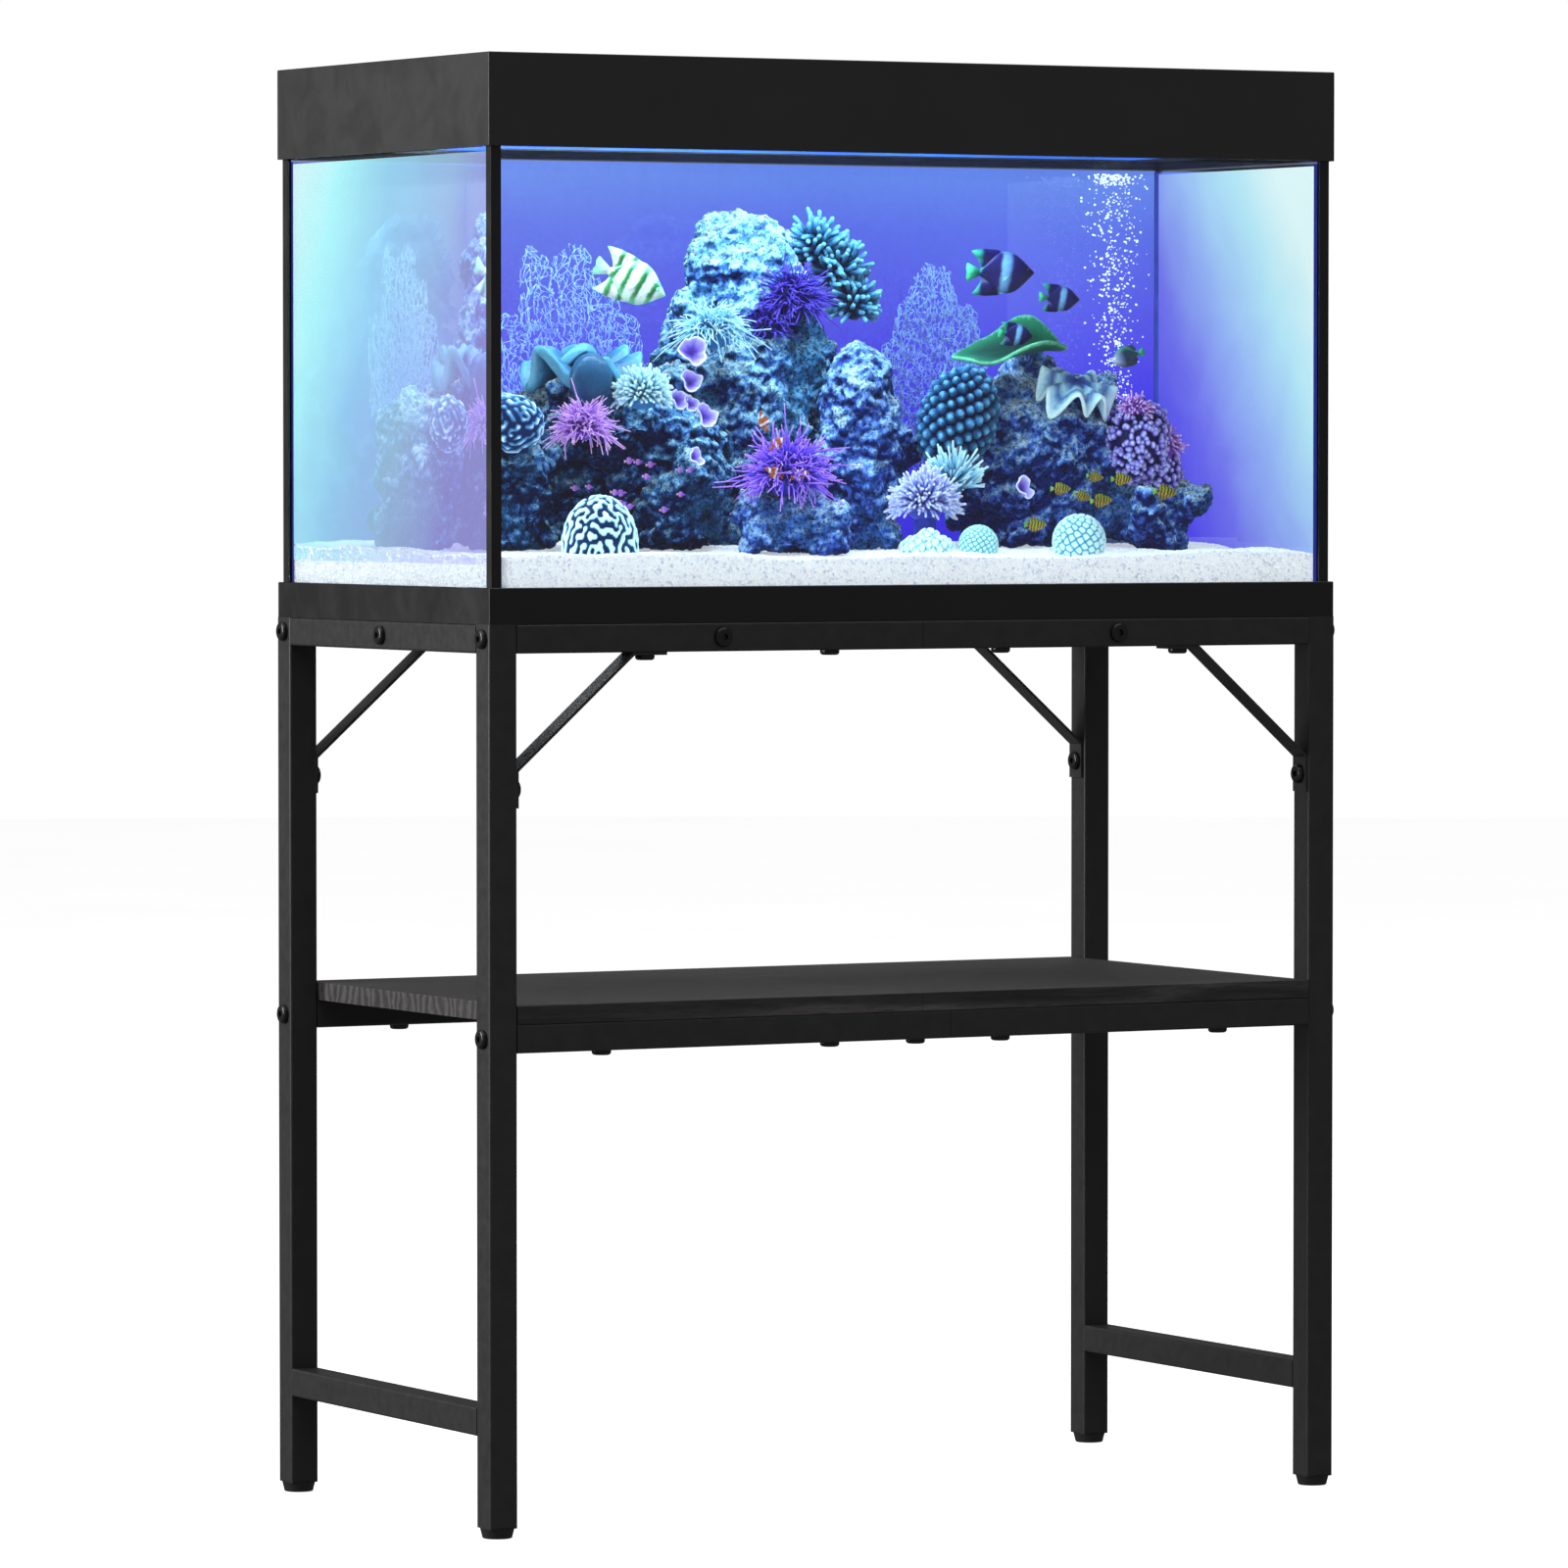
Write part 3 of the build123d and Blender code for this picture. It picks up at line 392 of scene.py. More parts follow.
def lamp_lens():
    s = Shader("frosted_lens")
    ribs = s.node("ShaderNodeTexWave", {"Vector": s.place, "Scale": 110.0, "Distortion": 0.4}).outputs["Fac"]
    colour = s.mix(ribs, (0.42, 0.70, 1.0), (0.55, 0.82, 1.0))
    return s.surface(colour, 0.35, s.bump(ribs, 0.0004, 0.6), Emission_Color=colour, Emission_Strength=LAMP)


def lamp_board():
    s = Shader("lamp_circuit_board")
    copper = s.ramp(s.cells(260, "DISTANCE_TO_EDGE"), (0.02, (0.55, 0.42, 0.2)), (0.06, (0.7, 0.72, 0.72)))
    return s.surface(copper, 0.4, s.bump(s.noise(500, 2), 0.0001, 0.5))


def porous_stone():
    s = Shader("porous_air_stone")
    colour = s.mix(s.noise(500, 4), (0.05, 0.09, 0.2), (0.16, 0.24, 0.42))
    return s.surface(colour, 0.85, s.bump(s.cells(700), 0.0008, 0.9))


def rim_plastic_painted_shade():
    s = Shader("rim_plastic_painted_shade")
    # The rim is black plastic, made blacker and duller than the other black plastic: painted shade for the
    # shadow under the hood's edge.
    shade = s.mix(s.noise(60, 4), (0.0015, 0.0015, 0.002), (0.004, 0.004, 0.006))
    return s.surface(shade, 0.85, s.bump(s.noise(700, 2), 0.0001, 0.3), Specular_IOR_Level=0.03)


def paint(mesh, material):
    mesh.materials.clear()
    mesh.materials.append(material)


def dress(material, slot):
    """Gives every CAD node of this record slot the material."""
    for row in frame["record"]["subparts"]:
        if row["material_slot"] == slot:
            paint(NODES[row["node"]].data, material)


dress(coated_steel(), "frame_steel")
dress(plated_steel(), "plated_steel")
dress(bolt_finish(), "bolt_steel")
dress(dark_wood(), "shelf_board")
dress(satin_plastic("moulded_foot", (0.012, 0.012, 0.012), (0.022, 0.022, 0.022), 0.5), "foot_plastic")
dress(satin_plastic("black_trim", (0.008, 0.008, 0.0085), (0.012, 0.012, 0.0125), 0.36), "trim_plastic")
dress(satin_plastic("black_hood", (0.019, 0.019, 0.0195), (0.025, 0.025, 0.026), 0.42), "hood_plastic")
dress(satin_plastic("lamp_casing", (0.02, 0.02, 0.022), (0.035, 0.035, 0.037), 0.45), "light_housing")
dress(satin_plastic("grommet_rubber", (0.01, 0.01, 0.01), (0.02, 0.02, 0.02), 0.65), "grommet_rubber")
paint(NODES["top_rim"].data, rim_plastic_painted_shade())
dress(clear_glass("pane_glass", 1.5, (0.985, 0.997, 0.995)), "tank_glass")
dress(silicone(), "silicone")
dress(film_painted_glow(), "background_film")
dress(lamp_lens(), "light_lens")
dress(lamp_board(), "led_board")
dress(porous_stone(), "air_stone")


# ---------------------------------------------------------------- meshes

class Build:
    """Points, faces and each point's tint, gathered from many small shapes."""

    def __init__(self):
        self.points = []
        self.faces = []
        self.tints = []
        self.uvs = []

    def add(self, points, faces, tints=0.0, uvs=None):
        first = len(self.points)
        self.points.extend(tuple(p) for p in points)
        self.faces.extend(tuple(first + i for i in face) for face in faces)
        self.tints.extend(tints if hasattr(tints, "__len__") else [tints] * len(points))
        self.uvs.extend(uvs if uvs is not None else [(0.5, 0.5)] * len(points))

    def tube(self, path, radii, sides=6, tints=None):
        """A tube along path, closed with a flat cap at both ends."""
        tints = tints or [i / (len(path) - 1) for i in range(len(path))]
        points, shades = [], []
        for i, (centre, radius) in enumerate(zip(path, radii)):
            ahead = path[min(i + 1, len(path) - 1)] - path[max(i - 1, 0)]
            side = ahead.orthogonal().normalized()
            other = ahead.cross(side).normalized()
            for k in range(sides):
                turn = 2 * math.pi * k / sides
                points.append(centre + (side * math.cos(turn) + other * math.sin(turn)) * radius)
                shades.append(tints[i])
        faces = []
        for i in range(len(path) - 1):
            for k in range(sides):
                a, b = i * sides + k, i * sides + (k + 1) % sides
                faces.append((a, b, b + sides, a + sides))
        last = (len(path) - 1) * sides
        faces.append(tuple(reversed(range(sides))))
        faces.append(tuple(range(last, last + sides)))
        self.add(points, faces, shades)

    def ball(self, centre, radii, detail=2, tint=0.5, turn=None):
        points, faces = BALLS[detail]
        turn = turn or Matrix.Identity(3)
        scaled = [centre + turn @ Vector((p.x * radii[0], p.y * radii[1], p.z * radii[2])) for p in points]
        self.add(scaled, faces, tint)

    def hold(self):
        """Keeps every point clear of the panes."""
        self.points = [tuple(p) for p in within_tank(np.array(self.points))]

    def piece(self, name, material, slot="coral", replaces=(), smooth=True, body=TANK):
        mesh = bpy.data.meshes.new(name)
        mesh.from_pydata(self.points, [], self.faces)
        tint = mesh.attributes.new("tint", "FLOAT", "POINT")
        tint.data.foreach_set("value", self.tints)
        layer = mesh.uv_layers.new(name="UVMap")
        corners = np.zeros(len(mesh.loops), np.int32)
        mesh.loops.foreach_get("vertex_index", corners)
        layer.data.foreach_set("uv", np.array(self.uvs, np.float32)[corners].ravel())
        return place(name, mesh, material, slot, replaces, smooth, body)


def ball_shape(detail):
    shape = bmesh.new()
    bmesh.ops.create_icosphere(shape, subdivisions=detail, radius=1.0)
    shape.verts.ensure_lookup_table()
    points = [v.co.copy() for v in shape.verts]
    faces = [tuple(v.index for v in face.verts) for face in shape.faces]
    shape.free()
    return points, faces


BALLS = {detail: ball_shape(detail) for detail in (1, 2, 3, 4, 6)}


def place(name, mesh, material, slot="coral", replaces=(), smooth=True, body=TANK):
    """Makes mesh a piece of the body, standing for the CAD nodes in replaces."""
    paint(mesh, material)
    mesh.validate()
    mesh.polygons.foreach_set("use_smooth", [smooth] * len(mesh.polygons))
    piece = bpy.data.objects.new(name, mesh)
    bpy.context.scene.collection.objects.link(piece)
    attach(piece, body)
    if replaces:
        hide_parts(*replaces)
    return piece


def evaluated(mesh, *modifiers):
    """The mesh after modifiers, each a type and its settings."""
    holder = bpy.data.objects.new("holder", mesh)
    bpy.context.scene.collection.objects.link(holder)
    for kind, settings in modifiers:
        modifier = holder.modifiers.new(kind, kind)
        for key, value in settings.items():
            setattr(modifier, key, value)
    graph = bpy.context.evaluated_depsgraph_get()
    made = bpy.data.meshes.new_from_object(holder.evaluated_get(graph))
    bpy.data.objects.remove(holder)
    return made


def grid(across, deep, first=0):
    """The faces of a grid of points that runs along its rows."""
    row = across + 1
    corners = [first + j * row + i for j in range(deep) for i in range(across)]
    return [(a, a + 1, a + row + 1, a + row) for a in corners]


def grid_rim(across, deep):
    """The outer points of such a grid, in order round it."""
    row = across + 1
    out = list(range(row)) + [j * row + across for j in range(1, deep + 1)]
    back = [deep * row + i for i in range(across - 1, -1, -1)] + [j * row for j in range(deep - 1, 0, -1)]
    return out + back


def arrays(mesh):
    points = np.zeros(len(mesh.vertices) * 3)
    mesh.vertices.foreach_get("co", points)
    normals = np.zeros(len(mesh.vertices) * 3)
    mesh.vertex_normals.foreach_get("vector", normals)
    return points.reshape(-1, 3), normals.reshape(-1, 3)


def within_tank(points, margin=0.003):
    """Points held clear of the panes."""
    low = np.array((LEFT + margin, FRONT + margin, FLOOR + margin))
    high = np.array((RIGHT - margin, REAR - margin, SURFACE - margin))
    return np.clip(points, low, high)


def roughened(mesh, *layers):
    """Moves the points along their normals by layers of noise: a kind, a grain size and a depth each."""
    points, normals = arrays(mesh)
    offsets = np.zeros(len(points))
    for kind, grain, depth, seed in layers:
        shift = Vector((seed, seed * 1.7, seed * 0.6))
        for i, point in enumerate(points):
            where = Vector(point) / grain + shift
            if kind == "folds":
                value = noise.turbulence(where, 4, True) - 0.55
            elif kind == "ridges":
                value = noise.ridged_multi_fractal(where, 0.9, 2.1, 4, 1.0, 2.0) - 1.2
            elif kind == "pits":
                value = min(noise.voronoi(where)[0][0] * 1.6, 1.0) - 0.7
            else:
                value = noise.fractal(where, 0.9, 2.1, 4)
            offsets[i] += value * depth
    moved = within_tank(points + normals * offsets[:, None])
    mesh.vertices.foreach_set("co", moved.astype(np.float32).ravel())
    mesh.update()
    return mesh


# ---------------------------------------------------------------- stage, camera and lamps

def make_stage():
    shape = bmesh.new()
    bmesh.ops.create_circle(shape, cap_ends=True, segments=96, radius=14)
    mesh = bpy.data.meshes.new("studio_floor")
    shape.to_mesh(mesh)
    shape.free()
    mesh.materials.append(studio_floor())
    floor = bpy.data.objects.new("studio_floor", mesh)
    floor.location = (0, 0, CAD_LOW.z - 0.0005)
    floor.visible_glossy = False
    floor.visible_diffuse = False
    bpy.context.scene.collection.objects.link(floor)


CAMERA_PLACE = (-3.58157, -6.50314, 0.87021)
CAMERA_TILT = math.radians(90 - 2.117)
CAMERA_TURN = math.radians(-28.693)
CAMERA_LENS = 202.08


def make_camera():
    camera = bpy.data.objects.new("camera", bpy.data.cameras.new("camera"))
    bpy.context.scene.collection.objects.link(camera)
    camera.location = CAMERA_PLACE
    camera.rotation_euler = (CAMERA_TILT, 0, CAMERA_TURN)
    camera.data.sensor_width = 36
    camera.data.lens = CAMERA_LENS
    camera.data.clip_end = 60
    bpy.context.scene.camera = camera


def area_lamp(name, place, target, size, power, colour=(1, 1, 1)):
    lamp = bpy.data.objects.new(name, bpy.data.lights.new(name, "AREA"))
    lamp.data.shape = "RECTANGLE"
    lamp.data.size, lamp.data.size_y = size
    lamp.data.energy = power
    lamp.data.color = colour
    lamp.location = place
    lamp.rotation_euler = (Vector(target) - Vector(place)).to_track_quat("-Z", "Y").to_euler()
    bpy.context.scene.collection.objects.link(lamp)
    return lamp


def make_world():
    world = bpy.data.worlds.new("studio")
    bpy.context.scene.world = world
    world.use_nodes = True
    tree = world.node_tree
    tree.nodes.clear()
    path = tree.nodes.new("ShaderNodeLightPath")
    mixed = tree.nodes.new("ShaderNodeMixShader")
    out = tree.nodes.new("ShaderNodeOutputWorld")
    tree.links.new(path.outputs["Is Camera Ray"], mixed.inputs[0])
    for socket, strength in ((1, 0.13), (2, 1.0)):
        white = tree.nodes.new("ShaderNodeBackground")
        white.inputs["Color"].default_value = (1, 1, 1, 1)
        white.inputs["Strength"].default_value = strength
        tree.links.new(white.outputs[0], mixed.inputs[socket])
    tree.links.new(mixed.outputs[0], out.inputs[0])


make_stage()
make_camera()
make_world()
bpy.context.scene.view_settings.view_transform = "Standard"
tank_middle = (MIDDLE_X, MIDDLE_Y, 0.7)
area_lamp("key_left", (-3.6, 1.2, 1.7), tank_middle, (2.2, 2.6), 138)
front = area_lamp("soft_front", (-1.0, -4.2, 2.4), tank_middle, (2.6, 2.0), 38)
front.visible_glossy = False
area_lamp("overhead", (0, 0, 4.2), (0, 0, 0), (5, 5), 90)
hood_lamp = area_lamp("hood_lamp", (-0.12, -0.06, SURFACE + 0.045), (0, 0, 0), (0.46, 0.10), 4.6,
                      (0.62, 0.88, 1.0))
hood_lamp.rotation_euler = (math.radians(9), math.radians(-3), 0)
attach(hood_lamp, "hood")
NODES["background_film"].visible_diffuse = False


# ---------------------------------------------------------------- water and glow

def wavy_block(low, high, ripple):
    """A block of water with faint ripples on top."""
    across, deep = 60, 30
    points = []
    for j in range(deep + 1):
        for i in range(across + 1):
            x = low.x + (high.x - low.x) * i / across
            y = low.y + (high.y - low.y) * j / deep
            lift = noise.noise(Vector((x * 14, y * 14, 3))) * ripple
            edge = min(i, across - i, j, deep - j) > 0
            points.append((x, y, high.z + lift * edge))
    ground = len(points)
    points.extend((x, y, low.z) for (x, y, z) in points[:ground])
    rim = grid_rim(across, deep)
    faces = grid(across, deep) + [tuple(reversed(face)) for face in grid(across, deep, ground)]
    faces += [(a, ground + a, ground + b, b) for a, b in zip(rim, rim[1:] + rim[:1])]
    build = Build()
    build.add(points, faces)
    return build


water_low = Vector((LEFT + GAP, FRONT + GAP, FLOOR + GAP))
water_high = Vector((RIGHT - GAP, REAR - GAP, SURFACE))
clear_water = clear_glass("clear_water", 1.333, (0.965, 0.985, 1.0))
water = wavy_block(water_low, water_high, 0.0008).piece("water", clear_water, "tank_glass", smooth=False)
water.data.materials.append(open_surface())
for face in water.data.polygons:
    face.material_index = int(min(water.data.vertices[i].co.z for i in face.vertices) > SURFACE - 0.005)


def side_veil(name, x, material):
    """A thin curtain of scattered light just inside a side pane."""
    steps = 24
    y0, y1 = FRONT + 0.001, REAR - 0.001
    z0, z1 = SAND - 0.004, SURFACE - 0.002
    points = [(x, y0 + (y1 - y0) * i / steps, z0 + (z1 - z0) * j / steps)
              for j in range(steps + 1) for i in range(steps + 1)]
    build = Build()
    build.add(points, grid(steps, steps))
    return build.piece(name, material, "tank_glass")


LEFT_GLOW = pane_glow(
    "left_veil",
    [(0.45, 0.42, 1.0), (0.42, 0.64, 0.92), (0.32, 0.66, 0.84), (0.37, 0.80, 0.82), (0.60, 0.76, 0.76)],
    (0.46, 0.60, 0.96), (FRONT, REAR), (0.9, 0.35), -0.26, 1.66)
RIGHT_GLOW = pane_glow(
    "right_veil",
    [(0.08, 0.06, 0.86), (0.19, 0.20, 0.90), (0.33, 0.50, 0.98), (0.50, 0.86, 1.0), (0.80, 1.0, 1.0)],
    (0.90, 0.97, 0.99), (REAR, FRONT), (0.75, 0.62), -0.20, 1.04)
veils = [("left_light_veil", LEFT + 3 * GAP, LEFT_GLOW), ("right_light_veil", RIGHT - 3 * GAP, RIGHT_GLOW)]
for name, x, glow in veils:
    veil = side_veil(name, x, glow)
    veil.visible_diffuse = False
    veil.visible_glossy = False


def hood_painted_glow_strip():
    """A coved strip round the inside of the hood's foot, above the tank's rim, glowing with painted light."""
    low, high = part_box("hood_shell")
    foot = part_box("top_rim")[1].z + 0.0035
    inset, steps, tall, deep = 0.0045, 8, 0.030, 0.008
    front_left = Vector((low.x + inset, low.y + inset, foot))
    back_right = Vector((high.x - inset, high.y - inset, foot))
    back_left = Vector((front_left.x, back_right.y, foot))
    front_right = Vector((back_right.x, front_left.y, foot))
    runs = [(back_left, back_right, Vector((0, -1, 0))), (back_right, front_right, Vector((-1, 0, 0))),
            (front_left, back_left, Vector((1, 0, 0)))]
    build = Build()
    for start, end, inward in runs:
        points = []
        for k in range(steps + 1):
            angle = math.pi / 2 * k / steps
            offset = inward * (deep * (1 - math.cos(angle))) + Vector((0, 0, tall * math.sin(angle)))
            points += [start + offset, end + offset]
        build.add(points, [(2 * k, 2 * k + 1, 2 * k + 3, 2 * k + 2) for k in range(steps)])
    return build.piece("hood_painted_glow_strip", painted_strip_glow(), "hood_plastic", body="hood")


hood_painted_glow_strip().visible_diffuse = False


# ---------------------------------------------------------------- gravel

def gravel_bed():
    """White gravel with low dunes that rise to the rear, and grains that show against the panes."""
    rng = random.Random(11)
    low = Vector((LEFT + 2 * GAP, FRONT + 2 * GAP, FLOOR + 2 * GAP))
    high = Vector((RIGHT - 2 * GAP, REAR - 2 * GAP, GRAVEL_HIGH.z))

    def height(x, y):
        rise = (y - low.y) / (high.y - low.y)
        dune = noise.noise(Vector((x * 7, y * 9, 5))) * 0.006
        ripple = noise.noise(Vector((x * 23, y * 20, 1))) * 0.0022
        return SAND + (GRAVEL_HIGH.z - SAND) * rise + (dune + ripple)

    across, deep, down = 360, 120, 22
    points = []
    for j in range(deep + 1):
        for i in range(across + 1):
            x = low.x + (high.x - low.x) * i / across
            y = low.y + (high.y - low.y) * j / deep
            inner = 0 < i < across and 0 < j < deep
            grain = rng.uniform(-0.0009, 0.0009) if inner else 0
            points.append((x, y, height(x, y) + grain))
    faces = grid(across, deep)
    rim = grid_rim(across, deep)
    rings = [rim]
    end_x, end_y = 0.38, 0.18    # beyond these, a rim point is at an end or along a long side
    for k in range(1, down + 1):
        ring = []
        for a in rim:
            x, y, z = points[a]
            inward = rng.uniform(0, 0.0011)
            x += inward if x < MIDDLE_X - end_x else -inward if x > MIDDLE_X + end_x else 0
            y += inward if y < MIDDLE_Y - end_y else -inward if y > MIDDLE_Y + end_y else 0
            ring.append(len(points))
            points.append((x, y, z + (low.z - z) * k / down))
        rings.append(ring)
    for upper, lower in zip(rings, rings[1:]):
        for k in range(len(rim)):
            after = (k + 1) % len(rim)
            faces.append((upper[k], lower[k], lower[after], upper[after]))
    faces.append(tuple(reversed(rings[-1])))
    build = Build()
    build.add(points, faces)
    return build.piece("gravel", white_gravel(), "gravel", ["gravel_bed"])


gravel_bed()


# ---------------------------------------------------------------- rocks

def scattered(rng, *sizes):
    return Vector([rng.gauss(0, size) for size in sizes])


def scaled(direction, radii):
    return Vector((direction.x * radii[0], direction.y * radii[1], direction.z * radii[2]))


BLUE_STONE = reef_stone(
    "blue_live_rock", (0.008, 0.016, 0.14), (0.06, 0.14, 0.60), (0.32, 0.58, 1.0))
PALE_STONE = reef_stone(
    "pale_live_rock", (0.006, 0.016, 0.14), (0.07, 0.20, 0.56), (0.38, 0.72, 0.94), (0.02, 0.20, 0.24), 4.0)
# A darker copy of the live rock for the left rock: painted shade for its cave.
SHADED_STONE = reef_stone(
    "shaded_live_rock", (0.003, 0.008, 0.06), (0.03, 0.10, 0.32), (0.20, 0.48, 0.76), (0.006, 0.08, 0.09), 9.0)


def merged(mesh, grain):
    """The mesh's solids run into one skin of small squares, each as wide as grain."""
    return evaluated(mesh, ("REMESH", {"mode": "VOXEL", "voxel_size": grain}))


def rock(node, material, seed, lumps=26, bold=1.0, calm=0.0):
    """A craggy rock in the place of a CAD rock: its shape and random lumps, run together and worn.

    bold scales the large folds, and calm is how far below its top the lumps start.
    """
    rng = random.Random(seed)
    build = Build()
    source = NODES[node].data
    low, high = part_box(node)
    build.add([v.co for v in source.vertices], [tuple(p.vertices) for p in source.polygons])
    for _ in range(lumps):
        anchor = source.vertices[rng.randrange(len(source.vertices))].co
        if low.z + 0.01 < anchor.z < high.z - calm:
            size = rng.uniform(0.009, 0.021)
            build.ball(anchor, (size, size * rng.uniform(0.7, 1.2), size * rng.uniform(0.7, 1.5)), 2)
    mesh = bpy.data.meshes.new(node + "_rough")
    mesh.from_pydata(build.points, [], build.faces)
    mesh = merged(mesh, 0.0055)
    mesh = roughened(mesh, ("folds", 0.055, 0.020 * bold, seed), ("ridges", 0.080, 0.007 * bold, seed + 3))
    mesh = merged(mesh, 0.0022)
    mesh = roughened(mesh, ("cloud", 0.026, 0.0055, seed + 5), ("folds", 0.013, 0.0032, seed + 8),
                     ("cloud", 0.006, 0.0020, seed + 9), ("pits", 0.008, 0.0012, seed + 11))
    return place(node + "_crag", mesh, material, "reef_rock", [node])


rock("rock_left", SHADED_STONE, 3)
rock("rock_centre", PALE_STONE, 17, bold=0.85, calm=0.045)
rock("rock_slab", BLUE_STONE, 23, lumps=12, bold=0.6, calm=0.040)
rock("rock_anemone", BLUE_STONE, 31, lumps=14, bold=0.8)
rock("rock_right", BLUE_STONE, 47)


# ---------------------------------------------------------------- corals and anemones

GOLDEN = math.pi * (3 - math.sqrt(5))


def even_directions(count, lowest=-1.0):
    """Directions spread evenly over a ball, from straight up down to the height lowest."""
    for k in range(count):
        height = 1 - (1 - lowest) * (k + 0.5) / count
        flat = math.sqrt(max(0.0, 1 - height * height))
        yield Vector((flat * math.cos(k * GOLDEN), flat * math.sin(k * GOLDEN), height))


def tentacles(build, centre, core, count, length, thick, rng, lowest=-0.3, sag=0.25, wander=0.3,
              blunt=0.5, sides=5):
    """A fleshy core with tapering tentacles that stand out all over it and bend under their weight."""
    build.ball(centre, core, 3, 0.0)
    steps = 6
    for out in even_directions(count, lowest):
        root = centre + scaled(out, core) * 0.96
        normal = Vector((out.x / core[0], out.y / core[1], out.z / core[2])).normalized()
        stray = scattered(rng, wander, wander, wander) - Vector((0, 0, sag))
        reach = length * rng.uniform(0.72, 1.18)
        path, radii = [], []
        for i in range(steps + 1):
            t = i / steps
            path.append(root + (normal * t + stray * t * t) * reach)
            radii.append(thick * (1 - t * (1 - blunt)))
        tip = (path[-1] - path[-2]).normalized()
        path.append(path[-1] + tip * radii[-1] * 0.8)
        radii.append(radii[-1] * 0.45)
        build.tube(path, radii, sides)


def anemone(name, material, places, seed, stalk=0.0, **shape):
    """One or more balls of tentacles; places holds each one's centre, core size, number and length."""
    rng = random.Random(seed)
    build = Build()
    if stalk:
        x, y, z = places[0][0]
        build.ball(in_tank(x, y, z / 2), (stalk, stalk, z / 2 + 0.004), 3, 0.0)
    for centre, core, count, length in places:
        tentacles(build, in_tank(*centre), core, count, length, rng=rng, **shape)
    build.hold()
    return build.piece(name, material)


VIOLET = banded(
    "violet_anemone", (0.05, (0.02, 0.015, 0.25)), (0.4, (0.10, 0.05, 0.60)), (0.75, (0.42, 0.16, 0.85)),
    (1.0, (0.75, 0.45, 0.95)), gloss=0.3)
ROSE = banded(
    "rose_anemone", (0.05, (0.12, 0.03, 0.36)), (0.45, (0.50, 0.20, 0.72)), (0.8, (0.86, 0.46, 0.86)),
    (1.0, (0.95, 0.72, 0.95)), gloss=0.3)
DUSK = banded(
    "dusk_anemone", (0.05, (0.006, 0.004, 0.08)), (0.5, (0.035, 0.016, 0.30)), (1.0, (0.15, 0.08, 0.62)))
SNOW = banded(
    "snow_anemone", (0.05, (0.03, 0.16, 0.36)), (0.5, (0.30, 0.62, 0.78)),
    (0.9, (0.78, 0.95, 0.97)), gloss=0.2)
LILAC = banded(
    "lilac_anemone", (0.05, (0.04, 0.05, 0.38)), (0.5, (0.36, 0.40, 0.85)),
    (0.95, (0.86, 0.84, 0.98)), gloss=0.2)
TEAL = banded(
    "teal_fingers", (0.05, (0.003, 0.012, 0.07)), (0.5, (0.02, 0.11, 0.25)),
    (0.95, (0.16, 0.44, 0.58)), gloss=0.35)

purple = anemone("purple_anemone", VIOLET, [((-0.088, -0.098, 0.066), (0.019, 0.017, 0.017), 520, 0.021)], 5,
                 thick=0.0010, wander=0.42, blunt=0.45)
anemone("pink_anemone", ROSE, [((-0.263, -0.060, 0.106), (0.011, 0.010, 0.010), 330, 0.017)], 6,
        thick=0.0009, wander=0.36, blunt=0.5)
anemone("dusk_anemone", DUSK, [((-0.032, 0.035, 0.212), (0.015, 0.012, 0.018), 380, 0.018),
                               ((-0.058, 0.036, 0.190), (0.010, 0.010, 0.012), 140, 0.015)], 7,
        thick=0.0009, wander=0.35)
anemone("ball_anemone", SNOW, [((-0.206, -0.052, 0.134), (0.015, 0.014, 0.013), 300, 0.0115)], 8,
        thick=0.0014, wander=0.12, sag=0.1, blunt=0.85)
anemone("spiky_anemone", LILAC, [((0.052, -0.074, 0.044), (0.018, 0.016, 0.016), 420, 0.0145)], 9,
        thick=0.0014, wander=0.16, sag=0.08, blunt=0.8, stalk=0.010)
anemone("spiky_tuft", SNOW, [((0.085, -0.055, 0.058), (0.010, 0.010, 0.014), 130, 0.018)], 10,
        thick=0.0013, wander=0.14, sag=-0.2, blunt=0.8, lowest=-0.1)
anemone("finger_coral", TEAL, [((0.006, 0.072, 0.258), (0.011, 0.010, 0.014), 80, 0.016),
                               ((0.026, 0.072, 0.240), (0.013, 0.010, 0.015), 90, 0.017),
                               ((0.040, 0.070, 0.212), (0.011, 0.010, 0.014), 80, 0.015)], 12,
        thick=0.0022, wander=0.2, sag=-0.1, blunt=0.9, lowest=-0.6, sides=8)
anemone("white_fringe", SNOW, [((-0.118, 0.004, 0.184), (0.017, 0.010, 0.012), 300, 0.022)], 13,
        thick=0.0008, wander=0.3, sag=0.5, blunt=0.5, lowest=0.0)


def pattern_on(points, faces, rounds=26, near=3, far=13, seed=2):
    """Winding stripes: each point copies its near neighbours and opposes the ones farther off."""
    pairs = {(min(a, b), max(a, b)) for face in faces for a, b in zip(face, face[1:] + face[:1])}
    first, second = np.array(sorted(pairs)).T
    count = len(points)
    linked = np.bincount(first, minlength=count) + np.bincount(second, minlength=count)

    def blurred(values, times):
        for _ in range(times):
            around = np.bincount(first, values[second], count) + np.bincount(second, values[first], count)
            values = (values + around / linked) / 2
        return values

    values = np.random.default_rng(seed).uniform(-1, 1, count)
    for _ in range(rounds):
        close = blurred(values, near)
        values = np.tanh((close - blurred(close, far)) * 14)
    return blurred(values, 1)


